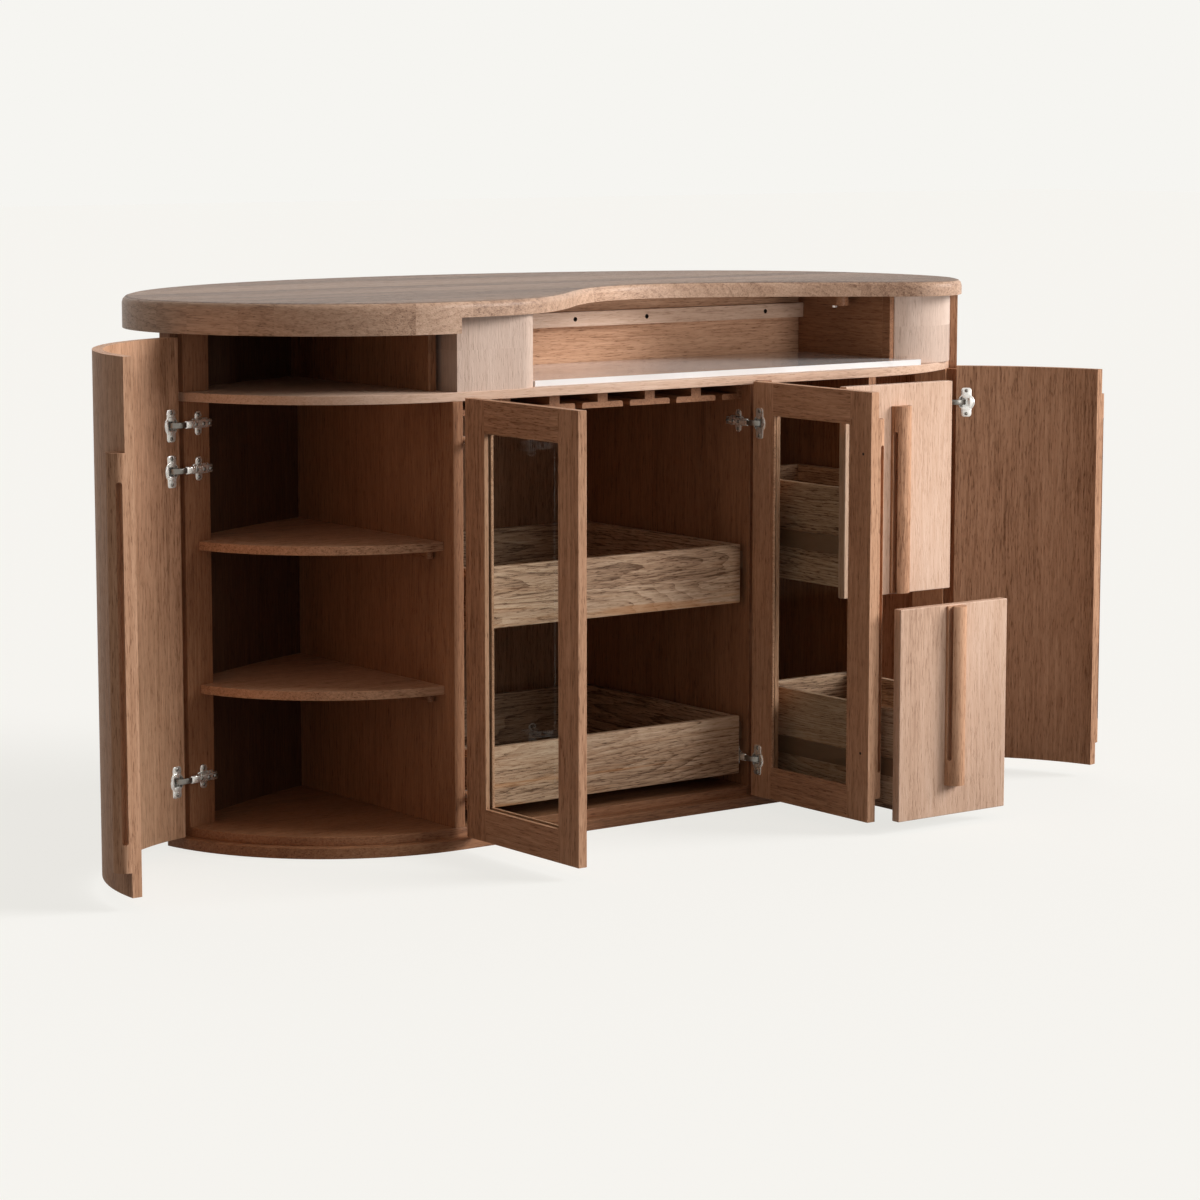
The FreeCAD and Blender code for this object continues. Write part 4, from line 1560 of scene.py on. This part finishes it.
@dataclass
class CupHinges:
    """Concealed hinges of a pair of doors: cups in the doors, arms on the cabinet, and links.

    Lengths are in the axes of a Leaf. Profiles are pairs of radius and height.

    Attributes:
        arms: Node of the arms.
        leaves: The doors.
        cup_x: Middle of a cup.
        face: Inner face of the door.
        ear_half: Half the width of a cup's ears.
        ear_inner: Where an ear starts, from the middle of the cup.
        ear_outer: Where it ends.
        ear_corner: Radius of its corners.
        ear_thick: Its thickness.
        screw_z: Its screw, from the middle of the cup.
        cover_radius: Radius of the half cover over a cup.
        cover_turn: Half the angle that the cover takes up, in degrees.
        cover_steps: Steps round it.
        cover_low: Its lower face, from the face of the door.
        pin_radius: Radius of the pin in a cup.
        pin_half: Half its length.
        pin_place: Its place, from the middle of the cup and into the door.
        plate_x: Lower face of the plates on the cabinet.
        plate_thick: Their thickness.
        plates: The plates, one along and one across.
        plate_screw: Place of the screws in the second plate, along the arm and from its middle.
        arm_half: Half the width of an arm.
        arm_ease: Radius of its edges.
        slot: Slot at its end, filled by a dark plate: painted shade.
        slot_x: Lower and upper face of the slot.
        arm_screws: Places of its screws, along it and above the cabinet.
        link_half: Half the width of a link.
        link_thick: Half its thickness.
        link_ease: Radius of its edges.
        link_start: Its end on the arm.
        link_end: Its end in the cup.
        link_steps: Steps along it.
        steps: Faces round a cup, a screw and a pin.
    """

    arms: str
    leaves: Sequence[Leaf]
    cup_x: float = 0.022
    face: float = 0.020
    ear_half: float = 0.0115
    ear_inner: float = 0.009
    ear_outer: float = 0.032
    ear_corner: float = 0.006
    ear_thick: float = 0.0016
    screw_z: float = 0.0255
    cover_radius: float = 0.0158
    cover_turn: float = 64.0
    cover_steps: int = 14
    cover_low: float = 0.0004
    pin_radius: float = 0.0022
    pin_half: float = 0.010
    pin_place: Pair = (-0.0095, 0.0165)
    plate_x: float = 0.0105
    plate_thick: float = 0.0020
    plates: Sequence[Wing] = (Wing(0.042, 0.086, 0.010, 0.005), Wing(0.050, 0.068, 0.024, 0.008))
    plate_screw: Pair = (0.059, 0.0165)
    arm_half: float = 0.0075
    arm_ease: float = 0.0014
    slot: Wing = Wing(0.0715, 0.0845, 0.0026, 0.0024)
    slot_x: Pair = (0.0235, 0.0262)
    arm_screws: Sequence[Pair] = ((0.0780, 0.0258), (0.0600, 0.0266), (0.0400, 0.0272))
    link_half: float = 0.0055
    link_thick: float = 0.0024
    link_ease: float = 0.0006
    link_start: Pair = (0.0235, 0.0150)
    link_end: Pair = (0.0195, 0.0145)
    link_steps: int = 9
    steps: tuple[int, int, int] = (40, 16, 12)
    cup_profile: Sequence[Pair] = (
        (0.0, 0.0092), (0.0130, 0.0092), (0.0160, 0.0112), (0.0162, 0.0212), (0.0166, 0.0217),
        (0.0180, 0.0217), (0.0186, 0.0212), (0.0186, 0.0200), (0.0174, 0.0198), (0.0172, 0.0082),
        (0.0, 0.0082))
    screw_profile: Sequence[Pair] = (
        (0.0, 0.0004), (0.0011, 0.0006), (0.0015, 0.0015), (0.0030, 0.0012), (0.0040, 0.0004),
        (0.0040, -0.0003))
    arm_outline: Sequence[Pair] = (
        (0.0128, 0.0880), (0.0205, 0.0880), (0.0245, 0.0840), (0.0262, 0.0700), (0.0272, 0.0500),
        (0.0274, 0.0300), (0.0270, 0.0190), (0.0252, 0.0132), (0.0225, 0.0122), (0.0202, 0.0150),
        (0.0197, 0.0240), (0.0186, 0.0310), (0.0155, 0.0360), (0.0128, 0.0400))

    def build(self, frame: dict[str, Any]) -> None:
        """Make the cups, the arms and the links.

        Args:
            frame: The loaded frame.
        """
        arms = Form(self.arms + "_metal")
        for leaf in self.leaves:
            cups, links = Form(leaf.cups + "_metal"), Form(leaf.body + "_hinge_links")
            shut, opened = leaf.shut(frame), leaf.opened(frame)
            start, end = self._link_ends(leaf)
            for z in leaf.heights:
                self._cup(cups, opened, z)
                self._arm(arms, shut, z)
                links.prism(self._link_outline(start, end), Axis.Z, z - self.link_half,
                            z + self.link_half, Finish.STEEL, shut, self.link_ease)
            piece = cups.build()
            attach(piece, leaf.body)
            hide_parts(leaf.cups)
            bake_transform(links.build())
        piece = arms.build()
        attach(piece, "cabinet")
        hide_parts(self.arms)

    def _cup(self, form: Form, place: Matrix, z: float) -> None:
        """Hollow cup with its lip, two ears with screws, a half cover and a pin.

        Args:
            form: Piece that it is added to.
            place: From the door's axes to the frame.
            z: Height of the hinge.
        """
        x, face, top = self.cup_x, self.face, self.face + self.ear_thick
        around, _, pin_steps = self.steps
        form.turned(self.cup_profile, Axis.Y, (x, 0.0, z), Finish.NICKEL, place, around)
        for way in (-1, 1):
            low, high = sorted((z + way * self.ear_inner, z + way * self.ear_outer))
            ear = rounded((x - self.ear_half, low), (x + self.ear_half, high), self.ear_corner)
            form.prism(ear, Axis.Y, face, top, Finish.NICKEL, place)
            self._screw(form, Axis.Y, (x, top, z + way * self.screw_z), place)
        turns = [math.radians(self.cover_turn * (2 * i / self.cover_steps - 1))
                 for i in range(self.cover_steps + 1)]
        cover = [(x + self.cover_radius * math.cos(turn), z + self.cover_radius * math.sin(turn))
                 for turn in turns]
        form.prism(cover, Axis.Y, face + self.cover_low, top, Finish.NICKEL, place)
        low, high = z - self.pin_half, z + self.pin_half
        aside, depth = self.pin_place
        pin = (0.0, low), (self.pin_radius, low), (self.pin_radius, high), (0.0, high)
        form.turned(pin, Axis.Z, (x + aside, depth, 0.0), Finish.STEEL, place, pin_steps)

    def _arm(self, form: Form, place: Matrix, z: float) -> None:
        """Winged plate on the cabinet, and the slotted arm over it, with painted shade in the slot.

        Args:
            form: Piece that it is added to.
            place: From the door's axes to the frame.
            z: Height of the hinge.
        """
        low, high = self.plate_x, self.plate_x + self.plate_thick
        for plate in self.plates:
            form.prism(plate.outline(z), Axis.X, low, high, Finish.NICKEL, place)
        along, aside = self.plate_screw
        for way in (-1, 1):
            self._screw(form, Axis.X, (high, along, z + way * aside), place)
        form.prism(self.arm_outline, Axis.Z, z - self.arm_half, z + self.arm_half, Finish.NICKEL,
                   place, self.arm_ease)
        # Painted shade: a dark plate in the slot.
        form.prism(self.slot.outline(z), Axis.X, *self.slot_x, Finish.HOLE, place)
        for along, above in self.arm_screws:
            self._screw(form, Axis.X, (above, along, z), place)

    def _screw(self, form: Form, axis: Axis, seat: Triple, place: Matrix) -> None:
        """Domed screw head with a recess."""
        form.turned(self.screw_profile, axis, seat, Finish.STEEL, place, self.steps[1])

    def _link_ends(self, leaf: Leaf) -> tuple[Pair, Pair]:
        """Ends of a link in the shut door's axes: on the arm, and in the opened door's cup."""
        end = leaf.swing() @ Vector((*self.link_end, 0.0))
        return self.link_start, (end.x, end.y)

    def _link_outline(self, start: Pair, end: Pair) -> list[Pair]:
        """Outline of a curved link round the pivot.

        Args:
            start: Its end on the arm.
            end: Its end in the cup.

        Returns:
            The corners.
        """
        first, last = math.hypot(*start), math.hypot(*end)
        a, b = math.atan2(start[1], start[0]), math.atan2(end[1], end[0])
        outer, inner = [], []
        for i in range(self.link_steps + 1):
            share = i / self.link_steps
            radius, turn = first + (last - first) * share, a + (b - a) * share
            for side, offset in ((outer, self.link_thick), (inner, -self.link_thick)):
                side.append(((radius + offset) * math.cos(turn),
                             (radius + offset) * math.sin(turn)))
        return outer + inner[::-1]


@dataclass
class CurvedDoor:
    """Door of a rounded end with its handle.

    Attributes:
        side: Side of the counter.
        ease: Radius of the edges.
    """

    side: Side
    ease: float = 0.0015

    def build(self, frame: dict[str, Any]) -> None:
        """Make the leaf and its handle."""
        for part in ("_curved_door", "_door_handle"):
            Board(self.side.value + part, Finish.FRONT, Axis.Z, self.ease).build(frame)


@dataclass
class GlassDoor:
    """Framed glass door: two stiles, two rails, a pane and its beads.

    Attributes:
        side: Side of the middle bay.
        rebate: How far the pane reaches into the frame.
        ease: Radius of the frame's edges.
        bead_ease: Radius of the beads' edges.
        hole_profile: Radius and height of each step of a thin dark disc with a ring, painted shade
            for a hole in the right door.
        hole_steps: Faces round a hole.
        hole_heights: Heights of the holes.
        hole_inset: How far they are from the free edge.
    """

    side: Side
    rebate: float = 0.008
    ease: float = 0.0012
    bead_ease: float = 0.0008
    hole_profile: Sequence[Pair] = ((0.0, 0.0001), (0.0022, 0.0001), (0.0026, 0.0003),
                                    (0.0030, 0.0001), (0.0030, -0.0004))
    hole_steps: int = 16
    hole_heights: Pair = (0.775, 0.165)
    hole_inset: float = 0.024

    def build(self, frame: dict[str, Any]) -> None:
        """Make the frame, the beads and the pane.

        Args:
            frame: The loaded frame.
        """
        side = self.side.value
        low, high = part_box(side + "_glass_pane")
        first, last = low.y + self.rebate, high.y - self.rebate

        def sort(place: Vector, normal: Vector) -> str:
            """Name of the stile or rail at a place.

            Args:
                place: Middle of the face.
                normal: Its normal.

            Returns:
                Name of the board.
            """
            if first < place.y < last:
                above = place.z > (low.z + high.z) / 2
                return side + ("upper_rail" if above else "lower_rail")
            return side + ("near_stile" if place.y < first else "far_stile")

        def axis_of(name: str) -> Axis:
            """Rails lie across the door, stiles stand."""
            return Axis.Y if name.endswith("rail") else Axis.Z

        cuts = [Cut.across(Axis.Y, y) for y in (first, last)]
        for part, ease in (("_glass_door_frame", self.ease), ("_glass_beads", self.bead_ease)):
            Board(side + part, Finish.FRONT, ease=ease, cuts=cuts, sort=sort,
                  axis_of=axis_of).build(frame)
        dress(frame, (side + "_glass_pane",), Finish.GLASS)
        if self.side is Side.RIGHT:
            Board("right_glass_door_handle", Finish.FRONT, Axis.Z, self.ease).build(frame)
            # Painted shade for two small holes in the right door.
            self._holes()

    def _holes(self) -> None:
        """Painted shade for small holes in the free stile of the right door, on its inner face:
        thin dark discs with a ring.
        """
        low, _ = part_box("right_glass_door_frame")
        form = Form("right_glass_door_holes")
        for height in self.hole_heights:
            place = Matrix.Translation((low.x, low.y + self.hole_inset, height)) @ MIRROR
            form.turned(self.hole_profile, Axis.X, (0.0, 0.0, 0.0), Finish.HOLE, place,
                        self.hole_steps)
        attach(form.build(), "right_glass_door")


@dataclass
class PullOut:
    """Box without a front, on runners, that trays and drawers share.

    Attributes:
        kind: Word for it in the names of its nodes.
        level: Its place.
        ease: Radius of its edges.
        board: Thickness of its sides and its back.
        lift: Height of its bottom above the lower edge.
        bottom: Thickness of its bottom.
    """

    kind: ClassVar[str]
    level: Level
    ease: float = 0.0018
    board: float = 0.016
    lift: float = 0.008
    bottom: float = 0.006

    def node(self, part: str) -> str:
        """Name of one of its nodes."""
        return f"{self.level.value}_{self.kind}_{part}"

    def build_box(self, frame: dict[str, Any]) -> None:
        """Make the sides, the back, the bottom and the runners.

        Args:
            frame: The loaded frame.
        """
        low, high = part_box(self.node("box"))
        left, right = low.x + self.board, high.x - self.board
        back, floor = high.y - self.board, low.z + self.lift
        planks = [Plank("left", low, Vector((left, high.y, high.z))),
                  Plank("right", Vector((right, low.y, low.z)), high),
                  Plank("back", Vector((left, back, low.z)), Vector((right, high.y, high.z))),
                  Plank("bottom", Vector((left, low.y, floor)),
                        Vector((right, back, floor + self.bottom)))]
        Board(self.node("box"), Finish.TRAY, ease=self.ease, planks=planks).build(frame)
        dress(frame, (self.node("runners"),), Finish.BROWN)


@dataclass
class Tray(PullOut):
    """Open pull-out tray with a lively front of two glued boards.

    Attributes:
        seam: Height of the joint in the front, as a share of its own height.
        glow: Share of golden streaks in the lower and the upper board.
    """

    kind: ClassVar[str] = "tray"
    seam: float = 0.48
    glow: Pair = (0.55, 0.1)

    def build(self, frame: dict[str, Any]) -> None:
        """Make the front, the box and the runners.

        Args:
            frame: The loaded frame.
        """
        low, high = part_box(self.node("front"))
        height = low.z + (high.z - low.z) * self.seam
        Board(self.node("front"), Finish.TRAY, Axis.X, self.ease,
              cuts=[Cut.across(Axis.Z, height)], sort=stacked(self.level.value, height),
              glow_of=lambda name: self.glow[name.endswith("_high")]).build(frame)
        self.build_box(frame)


@dataclass
class Drawer(PullOut):
    """Drawer with a tall front, a low box and a grooved handle."""

    kind: ClassVar[str] = "drawer"
    board: float = 0.014

    def build(self, frame: dict[str, Any]) -> None:
        """Make the front, the handle, the box and the runners.

        Args:
            frame: The loaded frame.
        """
        # The drawer fronts take the lighter copy of the wood: painted light.
        for part, finish in (("front", Finish.PALE), ("handle", Finish.FRONT)):
            Board(self.node(part), finish, Axis.Z, self.ease).build(frame)
        self.build_box(frame)


def aimed(name: str, kind: str, power: float, towards: Vector) -> bpy.types.Object:
    """New lamp.

    Args:
        name: Name of the lamp.
        kind: Its type.
        power: Its strength.
        towards: Direction of its light.

    Returns:
        The lamp's object.
    """
    lamp = linked(name, bpy.data.lights.new(name, kind))
    lamp.data.energy = power
    lamp.rotation_euler = towards.to_track_quat("-Z", "Y").to_euler()
    return lamp


@dataclass(frozen=True)
class Sun:
    """Broad distant lamp.

    Attributes:
        name: Name of the lamp.
        power: Its strength.
        width: How wide it looks, in degrees.
        turn: Its bearing from the front towards the right, in degrees.
        height: Its height above the horizon, in degrees.
    """

    name: str
    power: float
    width: float
    turn: float
    height: float

    def level(self) -> float:
        """Light that it gives to a white floor."""
        return self.power * math.sin(math.radians(self.height)) / math.pi

    def build(self) -> None:
        """Make the lamp."""
        side, up = math.radians(self.turn), math.radians(self.height)
        towards = Vector((-math.sin(side) * math.cos(up), math.cos(side) * math.cos(up),
                          -math.sin(up)))
        aimed(self.name, "SUN", self.power, towards).data.angle = math.radians(self.width)


@dataclass(frozen=True)
class Spot:
    """Near lamp that fades towards the edge of its cone.

    Attributes:
        name: Name of the lamp.
        power: Its strength in watts.
        place: Where it stands.
        target: What it points at.
        cone: Width of its cone in degrees.
        radius: Its radius.
    """

    name: str
    power: float
    place: Triple
    target: Triple
    cone: float
    radius: float

    def build(self) -> None:
        """Make the lamp."""
        lamp = aimed(self.name, "SPOT", self.power, Vector(self.target) - Vector(self.place))
        lamp.location = self.place
        lamp.data.spot_size = math.radians(self.cone)
        lamp.data.spot_blend = 1.0
        lamp.data.shadow_soft_size = self.radius


@dataclass
class Studio:
    """Pale floor and backdrop, soft light and the camera.

    Attributes:
        backdrop: Colour of the floor and what is behind it.
        floor_size: Width of the floor.
        floor_bounce: How much light the floor gives back.
        floor_limit: Most light that a matt floor can give back.
        plain_share: Share of the floor's look that takes no shadow.
        ambient: Strength of the light from all round.
        ambient_hue: Its colour.
        suns: The main lamp, and a weak one from behind.
        fill: Weak lamp that reaches into the niche and fades towards the left.
        camera_place: Where the camera stands.
        camera_turn: Its bearing, from straight at the back towards the right, in degrees.
        camera_pitch: How far it looks down, in degrees.
        lens: Its focal length in millimetres.
        sensor: Width of its sensor in millimetres.
    """

    backdrop: Colour = srgb(246, 245, 241)
    floor_size: float = 90.0
    floor_bounce: float = 0.28
    floor_limit: float = 0.98
    plain_share: float = 0.8
    ambient: float = 0.25
    ambient_hue: Colour = (1.0, 0.86, 0.74, 1.0)
    suns: Sequence[Sun] = (Sun("key", power=3.85, width=30.0, turn=57.0, height=24.0),
                           Sun("back", power=0.4, width=50.0, turn=150.0, height=35.0))
    fill: Spot = Spot("fill", power=88.0, place=(0.9, -2.6, 1.05), target=(0.45, 0.0, 0.8),
                      cone=50.0, radius=0.4)
    camera_place: Triple = (-4.4003, -6.0150, 1.4490)
    camera_turn: float = 36.827
    camera_pitch: float = 7.845
    lens: float = 105.6
    sensor: float = 36.0

    def build(self) -> None:
        """Make the floor, the light and the camera."""
        self._floor()
        self._world()
        for lamp in (*self.suns, self.fill):
            lamp.build()
        self._camera()
        bpy.context.scene.view_settings.view_transform = "Standard"

    def _floor(self) -> None:
        """Floor in the backdrop's colour that keeps the object's shadow."""
        half = self.floor_size / 2
        mesh = bpy.data.meshes.new("floor")
        corners = [(-half, -half, 0), (half, -half, 0), (half, half, 0), (-half, half, 0)]
        mesh.from_pydata(corners, [], [(0, 1, 2, 3)])
        floor = linked("floor", mesh)
        lit = self.ambient + sum(sun.level() for sun in self.suns)
        shade = [min(level / lit, self.floor_limit) for level in self.backdrop[:3]]
        rest = [(level - (1 - self.plain_share) * part * lit) / self.plain_share
                for level, part in zip(self.backdrop, shade)]
        dim = (self.floor_bounce, self.floor_bounce, self.floor_bounce, 1.0)
        shader = Shader(bpy.data.materials.new("pale_floor"))
        matt = shader.node("ShaderNodeBsdfDiffuse", None, {"Color": (*shade, 1.0)})
        plain = shader.node("ShaderNodeEmission", None, {"Color": (*rest, 1.0)})
        look = shader.shared(self.plain_share, matt, plain)
        bounce = shader.node("ShaderNodeBsdfDiffuse", None, {"Color": dim})
        mesh.materials.append(shader.finish(shader.shared(shader.seen(), bounce, look)))

    def _world(self) -> None:
        """Even light from all round, with the backdrop's colour where it is seen."""
        world = bpy.data.worlds.new("studio")
        bpy.context.scene.world = world
        shader = Shader(world)
        light = shader.node("ShaderNodeBackground", None,
                            {"Color": self.ambient_hue, "Strength": self.ambient})
        sight = shader.node("ShaderNodeBackground", None, {"Color": self.backdrop})
        shader.finish(shader.shared(shader.seen(), light, sight))

    def _camera(self) -> None:
        """Camera at the photograph's angle."""
        data = bpy.data.cameras.new("camera")
        data.sensor_width = self.sensor
        data.lens = self.lens
        camera = linked("camera", data)
        camera.location = self.camera_place
        camera.rotation_euler = (math.radians(90 - self.camera_pitch), 0.0,
                                 -math.radians(self.camera_turn))
        bpy.context.scene.camera = camera


def main() -> None:
    """Dress the frame, piece by piece, and set the stage."""
    logging.basicConfig(level=logging.INFO, format="%(name)s %(message)s")
    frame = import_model()
    curved_hinges = CupHinges("curved_door_hinge_arms", (
        Leaf("left_door", "left_door_hinge_cups", Side.LEFT, angle=-77.0,
             heights=(0.139, 0.757, 0.847)),
        Leaf("right_door", "right_door_hinge_cups", Side.RIGHT, angle=35.2, opening=105.0,
             heights=(0.110, 0.820))))
    glass_hinges = CupHinges("glass_door_hinge_arms", (
        Leaf("left_glass_door", "left_glass_hinge_cups", Side.LEFT),
        Leaf("right_glass_door", "right_glass_hinge_cups", Side.RIGHT)))
    parts = [CounterTop(), Case(), *map(CurvedDoor, Side), *map(GlassDoor, Side), curved_hinges,
             glass_hinges, *map(Tray, Level), *map(Drawer, Level)]
    for part in parts:
        part.build(frame)
    Studio().build()


if __name__ == "__main__":
    main()
